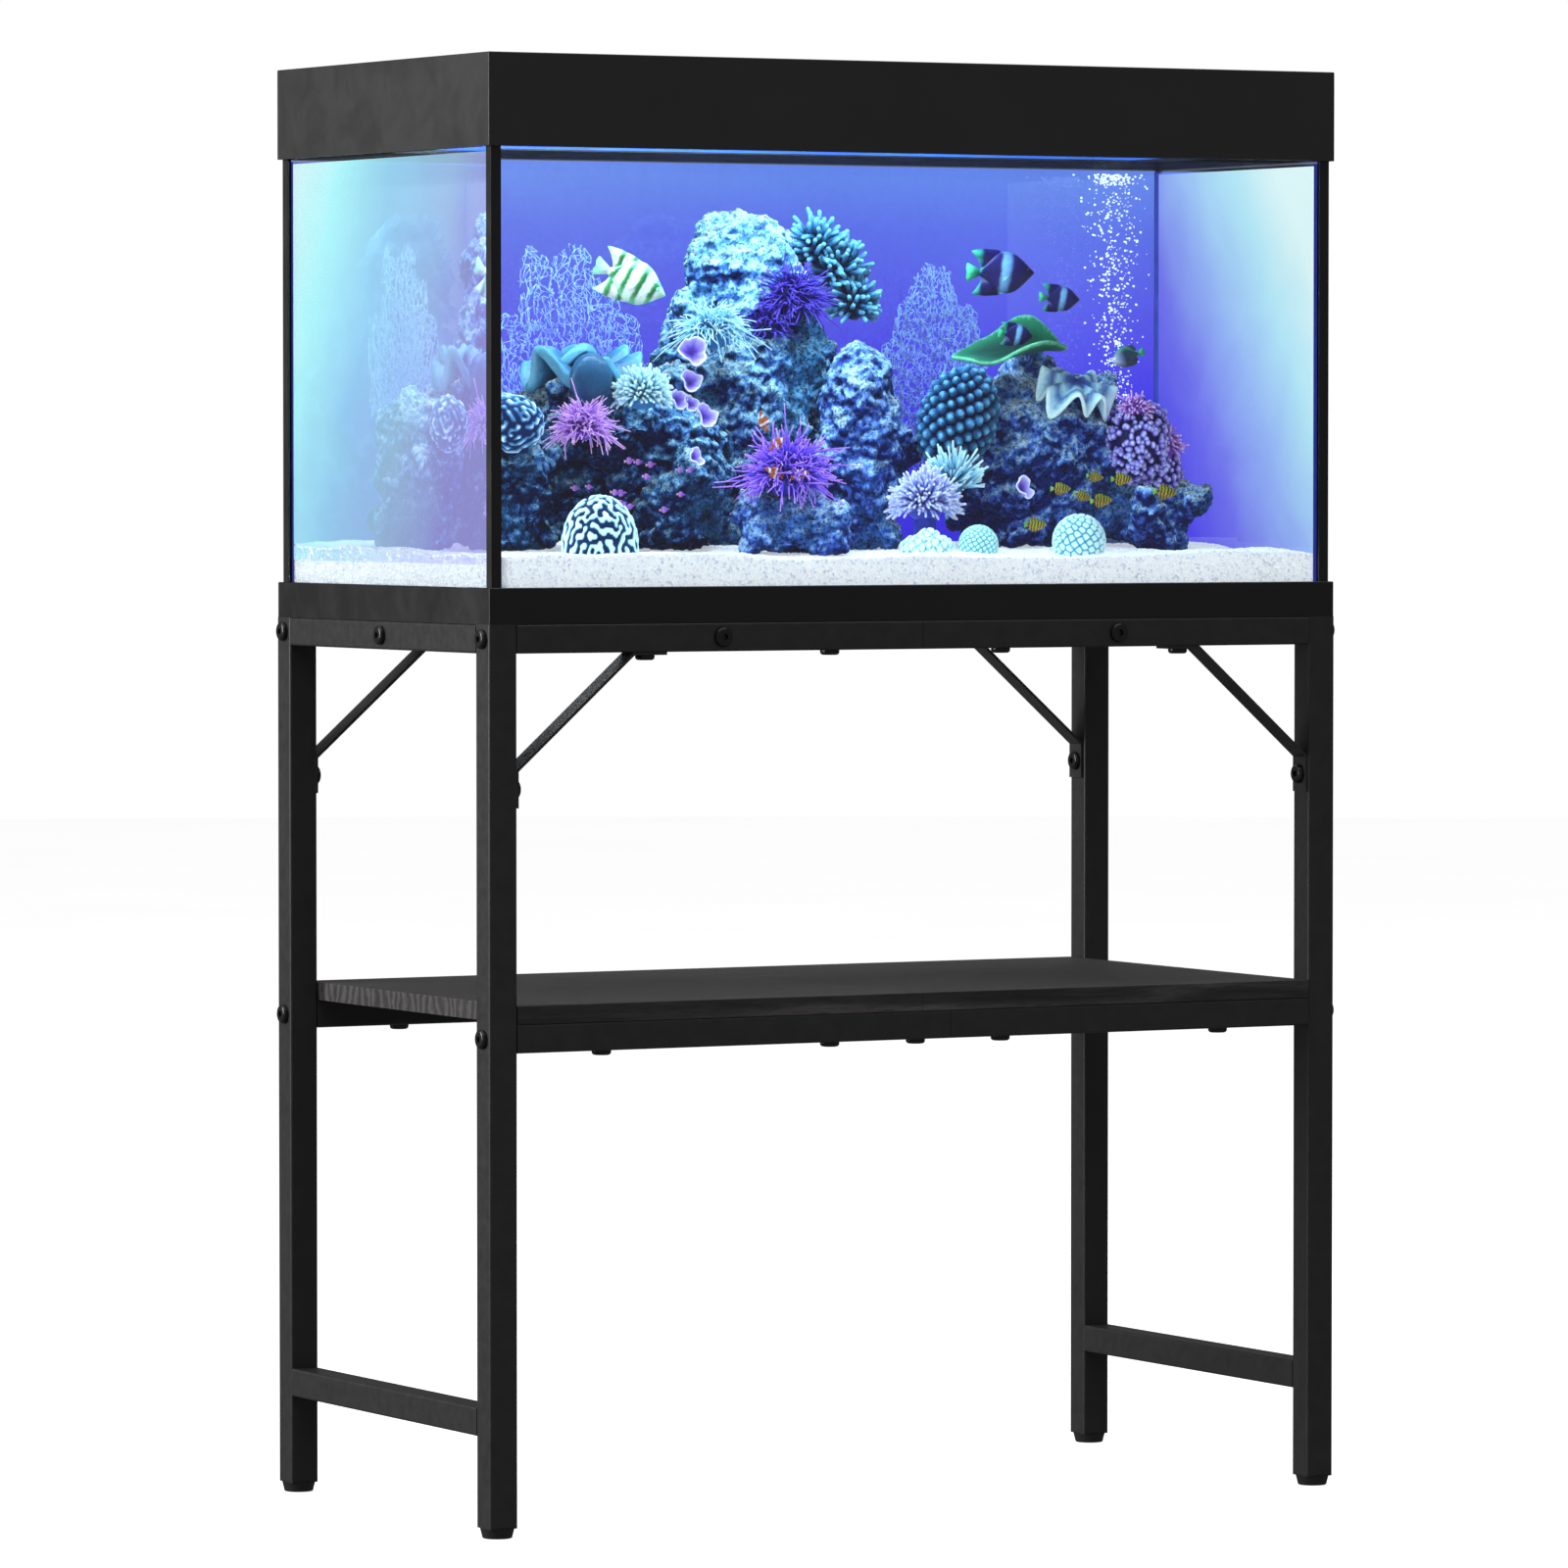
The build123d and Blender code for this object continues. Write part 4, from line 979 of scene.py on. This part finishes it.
def brain_coral():
    """A low dome of winding ridges with dark grooves between them."""
    low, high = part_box("brain_coral")
    radii = np.array(((high.x - low.x) / 2 - 0.0055, (high.y - low.y) / 2 - 0.0055, 0.040))
    centre = np.array(((low.x + high.x) / 2, (low.y + high.y) / 2, high.z - radii[2] - 0.001))
    ball, faces = BALLS[6]
    unit = np.array([tuple(p) for p in ball])
    ridges = pattern_on(unit, faces)
    points = centre + unit * (radii + 0.0013 * ridges[:, None])
    build = Build()
    build.add(points, faces, (ridges * 0.5 + 0.5).tolist())
    skin = banded(
        "brain_coral", (0.22, (0.003, 0.015, 0.09)), (0.45, (0.05, 0.22, 0.36)), (0.62, (0.42, 0.76, 0.80)),
        (0.95, (0.78, 0.96, 0.95)), depth=0.0003)
    return build.piece("brain_coral_ridges", skin, "coral", ["brain_coral"])


def cell_dome(build, centre, radii, cells, depth, seed, raised=False):
    """A dome of round cells: pits with raised walls between them, or bumps with grooves."""
    seeds = np.array([tuple(d) for d in even_directions(cells)])
    seeds += np.random.default_rng(seed).normal(0, 0.35 / math.sqrt(cells), seeds.shape)
    seeds /= np.linalg.norm(seeds, axis=1)[:, None]
    ball, faces = BALLS[6 if cells > 150 else 4]
    unit = np.array([tuple(p) for p in ball])
    near = np.sort(np.arccos(np.clip(unit @ seeds.T, -1, 1)), axis=1)
    wall = 1 - np.clip((near[:, 1] - near[:, 0]) * math.sqrt(cells) * 0.8, 0, 1)
    height = 1 - wall if raised else wall
    points = np.array(tuple(centre)) + unit * (np.array(radii) + depth * (height - 0.5)[:, None])
    build.add(within_tank(points), faces, height.tolist())


def cell_corals():
    honeycomb = banded(
        "honeycomb_coral", (0.2, (0.002, 0.012, 0.08)), (0.5, (0.10, 0.32, 0.62)), (0.8, (0.80, 0.98, 1.0)))
    star = banded(
        "star_dome", (0.1, (0.02, 0.18, 0.42)), (0.55, (0.22, 0.70, 0.74)),
        (0.85, (0.78, 0.96, 0.97)), scale=420)
    dots = banded(
        "dotted_dome", (0.1, (0.03, 0.30, 0.40)), (0.7, (0.30, 0.74, 0.74)), (0.95, (0.72, 0.96, 0.92)))
    domes = [
        ("honeycomb_coral", honeycomb, (-0.326, -0.052, 0.110), (0.028, 0.023, 0.023), 150, 0.0030, 3, False),
        ("star_dome_coral", star, (0.183, -0.118, 0.012), (0.0235, 0.021, 0.022), 170, 0.0026, 4, True),
        ("dotted_dome_coral", dots, (0.088, -0.112, 0.009), (0.0175, 0.0165, 0.0165), 220, 0.0016, 5, True),
    ]
    for name, skin, centre, *shape in domes:
        build = Build()
        cell_dome(build, in_tank(*centre), *shape)
        build.piece(name, skin)
    crown = Build()
    for k in range(5):
        turn = k * math.tau / 5
        spot = in_tank(0.041 + 0.013 * math.cos(turn), -0.108 + 0.012 * math.sin(turn), 0.004)
        cell_dome(crown, spot, (0.012, 0.011, 0.013), 40, 0.002, 6 + k, raised=True)
    cell_dome(crown, in_tank(0.041, -0.110, 0.012), (0.012, 0.011, 0.011), 40, 0.002, 12, raised=True)
    crown.piece("crown_coral", banded(
        "crown_coral", (0.1, (0.04, 0.25, 0.50)), (0.5, (0.42, 0.80, 0.80)),
        (0.85, (0.90, 0.99, 0.97)), scale=500))


def bead_coral(name, material, centre, radii, count, bead, seed, tilt=0.0, stretch=1.25, scatter=0.0):
    """Round beads packed over a stretched ball, each pointing outwards; each bead has painted shade towards
    the core and a painted highlight at its tip.
    """
    rng = random.Random(seed)
    build = Build()
    lean = Matrix.Rotation(tilt, 3, "Y")
    middle = in_tank(*centre)
    build.ball(middle, tuple(r * 0.93 for r in radii), 3, 0.0, lean)
    for out in even_directions(count):
        out = (out + scattered(rng, scatter, scatter, scatter)).normalized()
        out *= 1 + scatter * noise.noise(out * 5)
        normal = (lean @ Vector((out.x / radii[0], out.y / radii[1], out.z / radii[2]))).normalized()
        spot = middle + lean @ scaled(out, radii)
        size = bead * rng.uniform(0.85, 1.15)
        turn = normal.to_track_quat("Z", "Y").to_matrix()
        first = len(build.points)
        build.ball(spot, (size, size, size * stretch), 2, 0.5, turn)
        # Painted shade and highlight: each bead is darker towards the core and lighter at its tip.
        for i in range(first, len(build.points)):
            outward_shade_to_highlight = (Vector(build.points[i]) - spot).dot(normal) / (size * stretch)
            build.tints[i] = 0.5 + 0.5 * outward_shade_to_highlight
    build.hold()
    return build.piece(name, material)


def bead_corals():
    scales = banded(
        "scale_coral", (0.35, (0.002, 0.008, 0.06)), (0.65, (0.005, 0.03, 0.12)), (0.88, (0.015, 0.10, 0.24)),
        (1.0, (0.12, 0.36, 0.52)), gloss=0.4)
    bead_coral("scale_coral", scales, (0.104, -0.024, 0.114), (0.030, 0.024, 0.041), 170, 0.0050, 3,
               tilt=0.45, stretch=1.5)
    bush = banded(
        "bush_coral", (0.2, (0.006, 0.004, 0.08)), (0.55, (0.06, 0.03, 0.34)), (0.85, (0.30, 0.22, 0.72)),
        (1.0, (0.55, 0.60, 0.90)), gloss=0.3)
    bead_coral("bush_coral", bush, (0.284, -0.012, 0.096), (0.030, 0.026, 0.034), 620, 0.0027, 5,
               scatter=0.22)
    bead_coral("bush_coral_low", bush, (0.305, -0.004, 0.066), (0.024, 0.022, 0.026), 380, 0.0027, 6,
               scatter=0.22)
    tips = banded(
        "pink_tips", (0.1, (0.16, 0.04, 0.40)), (0.6, (0.55, 0.24, 0.72)), (1.0, (0.90, 0.55, 0.90)))
    anemone("bush_tips", tips, [((0.276, -0.028, 0.124), (0.009, 0.007, 0.006), 90, 0.007),
                                ((0.311, -0.018, 0.092), (0.008, 0.006, 0.011), 90, 0.008)], 21,
            thick=0.0011, wander=0.3, blunt=0.8)


def ruffle(name, material, centre, reach, height, waves, thickness, bowl=0.0, tilt=(0, 0, 0), seed=0,
           stretch=(1, 1), curl=0.0, join=None):
    """A leafy sheet: a disc whose rim rises and falls in waves, cupped by bowl and given a thickness."""
    rings, spokes = 14, 96
    rng = random.Random(seed)
    phases = [(count, rng.uniform(0, math.tau), size) for count, size in waves]
    points = [Vector((0, 0, 0))]
    tints = [0.0]
    for i in range(1, rings + 1):
        t = i / rings
        for k in range(spokes):
            angle = math.tau * k / spokes
            wave = sum(size * math.sin(count * angle + phase) for count, phase, size in phases)
            out = reach * t * (1 + 0.10 * math.sin(3 * angle + phases[0][1]) + 0.04 * math.sin(7 * angle))
            rise = height * wave * t ** 2 + bowl * t ** 2 + curl * max(0, t - 0.75) ** 2
            x, y = out * math.cos(angle) * stretch[0], out * math.sin(angle) * stretch[1]
            points.append(Vector((x, y, rise)))
            tints.append(t)
    faces = [(0, 1 + k, 1 + (k + 1) % spokes) for k in range(spokes)]
    for a in range(1, 1 + (rings - 1) * spokes, spokes):
        for k in range(spokes):
            after = (k + 1) % spokes
            faces.append((a + k, a + spokes + k, a + spokes + after, a + after))
    turn = Matrix.Identity(3)
    for axis, angle in zip("ZYX", reversed(tilt)):
        turn = turn @ Matrix.Rotation(angle, 3, axis)
    spot = in_tank(*centre)
    mesh = bpy.data.meshes.new(name)
    mesh.from_pydata([spot + turn @ p for p in points], [], faces)
    tint = mesh.attributes.new("tint", "FLOAT", "POINT")
    tint.data.foreach_set("value", tints)
    mesh = evaluated(mesh, ("SOLIDIFY", {"thickness": thickness, "offset": 0.0}), ("SUBSURF", {"levels": 1}))
    if join is not None:
        join.add([v.co for v in mesh.vertices], [tuple(p.vertices) for p in mesh.polygons],
                 [v.value for v in mesh.attributes["tint"].data])
        return None
    return place(name, mesh, material)


def leafy_corals():
    leather = banded(
        "leather_coral", (0.0, (0.002, 0.012, 0.05)), (0.5, (0.008, 0.045, 0.12)), (0.8, (0.02, 0.11, 0.21)),
        (1.0, (0.09, 0.28, 0.40)), gloss=0.45, scale=160, depth=0.0010)
    ruffle("leather_coral", leather, (-0.248, -0.008, 0.150), 0.052, 0.015, [(5, 1.0), (2, 0.4)], 0.009,
           bowl=0.002, tilt=(-0.15, 0.0, 0.1), seed=4, stretch=(1.1, 0.55), curl=-0.06)
    ruffle("leather_coral_rear", leather, (-0.236, 0.018, 0.158), 0.038, 0.013, [(4, 1.0), (3, 0.5)], 0.009,
           bowl=0.004, tilt=(0.1, 0.1, 0.4), seed=9, stretch=(1.15, 0.6), curl=-0.05)
    pod = Build()
    pod.ball(in_tank(-0.250, -0.042, 0.146), (0.019, 0.014, 0.022), 4, 0.6)
    pod.ball(in_tank(-0.247, -0.036, 0.128), (0.021, 0.015, 0.014), 4, 0.4)
    pod.piece("leather_coral_pod", leather)
    plate = banded(
        "plate_coral", (0.0, (0.002, 0.025, 0.02)), (0.6, (0.003, 0.055, 0.035)),
        (0.92, (0.012, 0.13, 0.065)), (1.0, (0.12, 0.42, 0.24)), scale=300, depth=0.0006)
    ruffle("plate_coral", plate, (0.167, 0.000, 0.172), 0.054, 0.007, [(2, 1.0), (3, 0.8), (5, 0.2)], 0.0035,
           bowl=0.006, tilt=(0.30, -0.18, 0.1), seed=6, stretch=(1.0, 0.62))
    clam = banded(
        "folded_clam", (0.0, (0.02, 0.01, 0.16)), (0.3, (0.05, 0.12, 0.40)), (0.5, (0.45, 0.74, 0.82)),
        (0.66, (0.06, 0.12, 0.38)), (0.82, (0.40, 0.66, 0.80)), (1.0, (0.80, 0.97, 0.93)), gloss=0.3)
    ruffle("folded_clam", clam, (0.223, -0.016, 0.146), 0.034, 0.012, [(7, 1.0), (3, 0.4)], 0.0035,
           bowl=-0.012, tilt=(0.55, 0.12, 0.0), seed=8, stretch=(1.1, 0.8))
    cups = Build()
    cup_places = [
        ((-0.160, -0.050, 0.167), 0.0125), ((-0.164, -0.055, 0.143), 0.0095),
        ((-0.176, -0.056, 0.128), 0.0085), ((-0.165, -0.058, 0.125), 0.0070),
        ((-0.153, -0.060, 0.114), 0.0105), ((-0.167, -0.072, 0.081), 0.0080),
        ((0.141, -0.080, 0.055), 0.0100),
    ]
    for k, (centre, reach) in enumerate(cup_places):
        ruffle("cup", None, centre, reach, reach * 0.16, [(4, 1.0), (7, 0.4)], 0.0012, bowl=reach * 0.7,
               tilt=(1.15, 0.1 * (k % 3 - 1), 0.1 * k), seed=k, join=cups)
    cups.piece("cup_corals", banded(
        "cup_coral", (0.0, (0.02, 0.005, 0.12)), (0.45, (0.16, 0.08, 0.55)), (0.85, (0.48, 0.38, 0.88)),
        (1.0, (0.88, 0.86, 0.98)), gloss=0.3))


def sea_fan(name, material, root, width, height, rings, seed, thick, lean=0.0):
    """A flat lace of fine branches that fork and join as they spread from the root."""
    rng = random.Random(seed)
    build = Build()
    foot = in_tank(*root)

    def spot(ring, k, count):
        reach = (ring + 0.5 * rng.random()) / rings
        angle = math.radians(-78 + 156 * (k + (0.5 if ring % 2 else 0.0)) / count) + rng.gauss(0, 0.03)
        reach *= 1 + 0.22 * noise.noise(Vector((angle * 3.5, seed, 0)))
        return foot + Vector((math.sin(angle) * width * reach, rng.gauss(0, 0.0012) + lean * reach,
                              math.cos(angle) * height * reach))

    levels = []
    for ring in range(1, rings + 1):
        count = 5 + int(ring * 2.1)
        levels.append([spot(ring, k, count) for k in range(count + 1)])
    twigs = [(foot, p, 0) for p in levels[0]]
    for ring in range(len(levels) - 1):
        inner, outer = levels[ring], levels[ring + 1]
        for k, end in enumerate(outer):
            share = k / (len(outer) - 1) * (len(inner) - 1)
            near = min(range(len(inner)), key=lambda n: (inner[n] - end).length)
            twigs.append((inner[near], end, ring))
            other = near + 1 if share > near else near - 1
            if 0 <= other < len(inner) and rng.random() < 0.62:
                twigs.append((inner[other], end, ring))
        for a, b in zip(outer, outer[1:]):
            if rng.random() < 0.22:
                twigs.append((a, b, ring))
    for start, end, ring in twigs:
        middle = (start + end) / 2 + scattered(rng, 0.0012, 0.0008, 0.0012)
        fine = thick * (1.5 - ring / rings)
        build.tube([start, middle, end], [fine, fine * 0.9, fine * 0.8], 4, [ring / rings] * 3)
    build.hold()
    return build.piece(name, material)


brain_coral()
cell_corals()
bead_corals()
leafy_corals()
FAN = banded(
    "sea_fan", (0.0, (0.16, 0.16, 0.80)), (0.5, (0.30, 0.38, 0.92)), (1.0, (0.50, 0.74, 1.0)), rough=0.6)
sea_fan("sea_fan_left", FAN, (-0.206, 0.140, 0.096), 0.078, 0.160, 36, 3, 0.0006)
sea_fan("sea_fan_right", FAN, (0.146, 0.140, 0.060), 0.060, 0.182, 44, 4, 0.0006)
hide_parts("corals")


# ---------------------------------------------------------------- fish and bubbles

def outline(points, steps=26):
    """Smooth values through a few given heights, evenly spaced from nose to tail."""
    given = np.linspace(0, 1, len(points))
    wanted = np.linspace(0, 1, steps)
    rough = np.interp(wanted, given, points)
    for _ in range(2):
        rough[1:-1] = (rough[:-2] + 2 * rough[1:-1] + rough[2:]) / 4
    return rough


def fish(build, place, length, heights, girth, fins, heading=1, turn=0.0, pitch=0.0):
    """A fish; heights and girth are its half sizes, from nose to tail base."""
    steps, sides = 26, 16
    tall, wide = outline(heights, steps), outline(girth, steps)
    body = 0.80
    points, uvs = [], []
    for i in range(steps):
        x = 0.5 - body * i / (steps - 1)
        for k in range(sides):
            angle = math.tau * k / sides
            points.append(Vector((x, math.cos(angle) * wide[i], math.sin(angle) * tall[i])))
            uvs.append((body * i / (steps - 1), 0.5 + 0.5 * math.sin(angle)))
    faces = []
    for a in range(0, (steps - 1) * sides, sides):
        for k in range(sides):
            after = (k + 1) % sides
            faces.append((a + k, a + after, a + sides + after, a + sides + k))
    faces += [tuple(reversed(range(sides))), tuple(range((steps - 1) * sides, steps * sides))]
    thin = 0.006
    for shape, side in fins:
        ground, n = len(points), len(shape)
        for layer in (-thin, thin):
            for x, z in shape:
                points.append(Vector((x, side + layer, z)))
                uvs.append((0.5 - x, min(1.0, max(0.0, 0.5 + z * 1.1))))
        faces.append(tuple(ground + i for i in reversed(range(n))))
        faces.append(tuple(ground + n + i for i in range(n)))
        for i in range(n):
            after = (i + 1) % n
            faces.append((ground + i, ground + after, ground + n + after, ground + n + i))
    spin = Matrix.Rotation(turn, 3, "Z") @ Matrix.Rotation(pitch, 3, "Y")
    spot = in_tank(*place)
    build.add([spot + spin @ Vector((p.x * heading, p.y, p.z)) * length for p in points], faces, 0.5, uvs)
    eye = spin @ Vector((0.40 * heading, 0, tall[3] * 0.35)) * length
    for side in (-1, 1):
        offset = spin @ Vector((0, side * wide[3] * 0.95, 0)) * length
        first = len(build.points)
        build.ball(spot + eye + offset, (length * 0.028,) * 3, 2, 0.0)
        build.uvs[first:] = [(0.0, 0.5)] * (len(build.points) - first)


FAN_TAIL = [
    (-0.28, 0.035), (-0.36, 0.07), (-0.48, 0.12), (-0.50, 0.06), (-0.485, 0.0), (-0.50, -0.06),
    (-0.48, -0.12), (-0.36, -0.07), (-0.28, -0.035)]
LONG_DORSAL = [
    (0.20, 0.19), (0.10, 0.255), (-0.05, 0.29), (-0.22, 0.30), (-0.38, 0.285), (-0.42, 0.27), (-0.35, 0.20),
    (-0.29, 0.12), (-0.26, 0.04), (0.1, 0.1)]
SHORT_DORSAL = [(0.18, 0.15), (0.10, 0.24), (-0.05, 0.27), (-0.20, 0.25), (-0.28, 0.12), (-0.2, 0.04)]
PECTORAL = [(0.14, -0.02), (0.02, -0.07), (0.0, -0.12), (0.10, -0.10)]


def finned(dorsal):
    """The fins of a fish with this back fin, each with how far it stands to the side."""
    anal = [(x, -z) for x, z in reversed(dorsal)]
    return [(FAN_TAIL, 0.0), (dorsal, 0.0), (anal, 0.0), (PECTORAL, -0.09), (PECTORAL, 0.09)]


DEEP = dict(heights=[0.01, 0.10, 0.19, 0.25, 0.27, 0.26, 0.20, 0.10, 0.045],
            girth=[0.01, 0.05, 0.075, 0.085, 0.085, 0.07, 0.05, 0.03, 0.018])
OVAL = dict(heights=[0.01, 0.09, 0.15, 0.18, 0.19, 0.17, 0.13, 0.08, 0.045],
            girth=[0.01, 0.06, 0.085, 0.095, 0.09, 0.075, 0.05, 0.03, 0.018])
SLIM = dict(heights=[0.01, 0.06, 0.10, 0.12, 0.12, 0.10, 0.07, 0.045, 0.03],
            girth=[0.01, 0.05, 0.07, 0.075, 0.07, 0.055, 0.04, 0.025, 0.015])
DEEP_FINS = finned(LONG_DORSAL)
OVAL_FINS = finned(SHORT_DORSAL)


def school(name, skin, form, fins, members, turn=0.0):
    """Fish of one kind; members holds each one's place, length, heading and pitch."""
    build = Build()
    for place, length, heading, pitch in members:
        fish(build, place, length, fins=fins, heading=heading, turn=turn, pitch=pitch, **form)
    return build.piece(name, skin)


def all_fish():
    angel = fish_skin(
        "angel_fish", [(0.0, (0.010, 0.006, 0.045)), (0.34, (0.020, 0.014, 0.14)), (0.40, (0.18, 0.42, 0.80)),
                       (0.47, (0.26, 0.55, 0.88)), (0.52, (0.018, 0.010, 0.12)), (0.76, (0.010, 0.008, 0.09)),
                       (0.82, (0.02, 0.30, 0.22)), (0.98, (0.06, 0.52, 0.24))],
        (0.010, 0.006, 0.06), (0.03, 0.02, 0.2))
    school("angel_fish", angel, DEEP, DEEP_FINS,
           [((0.146, -0.020, 0.238), 0.066, 1, 0.0), ((0.212, 0.0, 0.217), 0.040, 1, 0.05),
            ((0.161, -0.020, 0.186), 0.034, 1, 0.08), ((-0.352, 0.06, 0.030), 0.040, -1, 0.0)])
    white = (0.95, 1.0, 1.0)
    bands = []
    for start in (0.10, 0.29, 0.48, 0.67):
        bands += [(start, white), (start + 0.03, (0.01, 0.12, 0.03)), (start + 0.07, (0.03, 0.30, 0.06)),
                  (start + 0.10, white)]
    butterfly = fish_skin("butterfly_fish", [(0.0, (0.25, 0.75, 0.45)), *bands, (0.95, (0.30, 0.85, 0.50))],
                          (0.30, 0.85, 0.45), (0.35, 0.85, 0.60))
    school("butterfly_fish", butterfly, DEEP, DEEP_FINS, [((-0.213, -0.040, 0.228), 0.068, 1, 0.38)],
           turn=-0.62)
    bands = []
    for k in range(6):
        start = 0.12 + 0.125 * k
        bands += [(start, (0.30, 0.45, 0.04)), (start + 0.03, (0.02, 0.03, 0.005)),
                  (start + 0.06, (0.02, 0.03, 0.005)), (start + 0.09, (0.62, 0.26, 0.04))]
    striped = fish_skin("striped_fish", [(0.0, (0.50, 0.30, 0.05)), *bands, (0.97, (0.10, 0.65, 0.12))],
                        (0.6, 0.2, 0.05), (0.06, 0.30, 0.06))
    school("striped_fish", striped, OVAL, OVAL_FINS,
           [((0.179, -0.084, 0.056), 0.020, 1, 0.0), ((0.210, -0.090, 0.066), 0.017, 1, 0.1),
            ((0.241, -0.078, 0.064), 0.021, 1, 0.0), ((0.284, -0.078, 0.053), 0.024, 1, 0.05),
            ((0.212, -0.100, 0.046), 0.022, 1, -0.05), ((0.190, -0.108, 0.050), 0.018, 1, 0.3),
            ((0.143, -0.112, 0.026), 0.022, 1, 0.0)])
    orange, pale = (0.60, 0.11, 0.02), (0.85, 0.90, 0.95)
    clown = fish_skin(
        "clown_fish", [(0.0, orange), (0.18, orange), (0.22, pale), (0.30, pale), (0.34, orange),
                       (0.52, orange), (0.56, pale), (0.63, pale), (0.67, orange)],
        (0.5, 0.1, 0.02), (0.25, 0.04, 0.01))
    school("clown_fish", clown, SLIM, OVAL_FINS,
           [((-0.113, -0.105, 0.112), 0.019, -1, 1.2), ((-0.104, -0.115, 0.094), 0.018, 1, -0.6),
            ((-0.110, -0.122, 0.070), 0.019, -1, 0.4), ((-0.086, -0.124, 0.068), 0.018, 1, -0.3)])
    green = fish_skin(
        "green_fish", [(0.0, pale), (0.2, (0.30, 0.35, 0.60)), (0.4, (0.03, 0.05, 0.12)),
                       (0.8, (0.03, 0.08, 0.10)), (0.9, (0.05, 0.50, 0.20))],
        (0.02, 0.02, 0.08), (0.05, 0.55, 0.25))
    school("green_fish", green, DEEP, OVAL_FINS, [((0.267, -0.030, 0.168), 0.034, -1, -0.25)])
    rng = random.Random(8)
    tiny = fish_skin(
        "tiny_fish", [(0.0, (0.20, 0.05, 0.40)), (0.45, (0.38, 0.12, 0.65)), (0.8, (0.75, 0.35, 0.70)),
                      (1.0, (0.90, 0.60, 0.80))], (0.08, 0.03, 0.35), (0.12, 0.05, 0.40))
    members = []
    for _ in range(18):
        spot = (rng.uniform(-0.275, -0.165), rng.uniform(-0.075, -0.05), rng.uniform(0.030, 0.085))
        members.append((spot, rng.uniform(0.008, 0.0125), 1, rng.uniform(-0.2, 0.2)))
    school("tiny_fish", tiny, SLIM, OVAL_FINS[:3], members)


def bubble_column():
    """Bubbles that leave the air stone, spread as they rise and gather under the surface."""
    rng = random.Random(15)
    build = Build()
    low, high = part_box("air_stone")
    foot = Vector(((low.x + high.x) / 2, (low.y + high.y) / 2, high.z))
    tall = SURFACE - foot.z
    for _ in range(760):
        rise = rng.random() ** 0.75
        spread = 0.005 + 0.010 * rise
        x, y = rng.gauss(0, spread), rng.gauss(0, spread * 0.7)
        spot = foot + Vector((x, y, 0.004 + rise * (tall - 0.008)))
        size = rng.choice((0.0005, 0.0006, 0.0008, 0.0010, 0.0014))
        build.ball(Vector(within_tank(np.array(spot), 0.004)), (size, size, size * 0.85), 1, 0.5)
    for _ in range(90):
        spot = foot + Vector((rng.gauss(0, 0.009), rng.gauss(0, 0.008), tall - rng.uniform(0.004, 0.012)))
        build.ball(Vector(within_tank(np.array(spot), 0.004)), (0.0013, 0.0013, 0.0010), 1, 0.5)
    return build.piece("bubbles", bubble_painted_glow(), "tank_glass")


all_fish()
bubble_column()
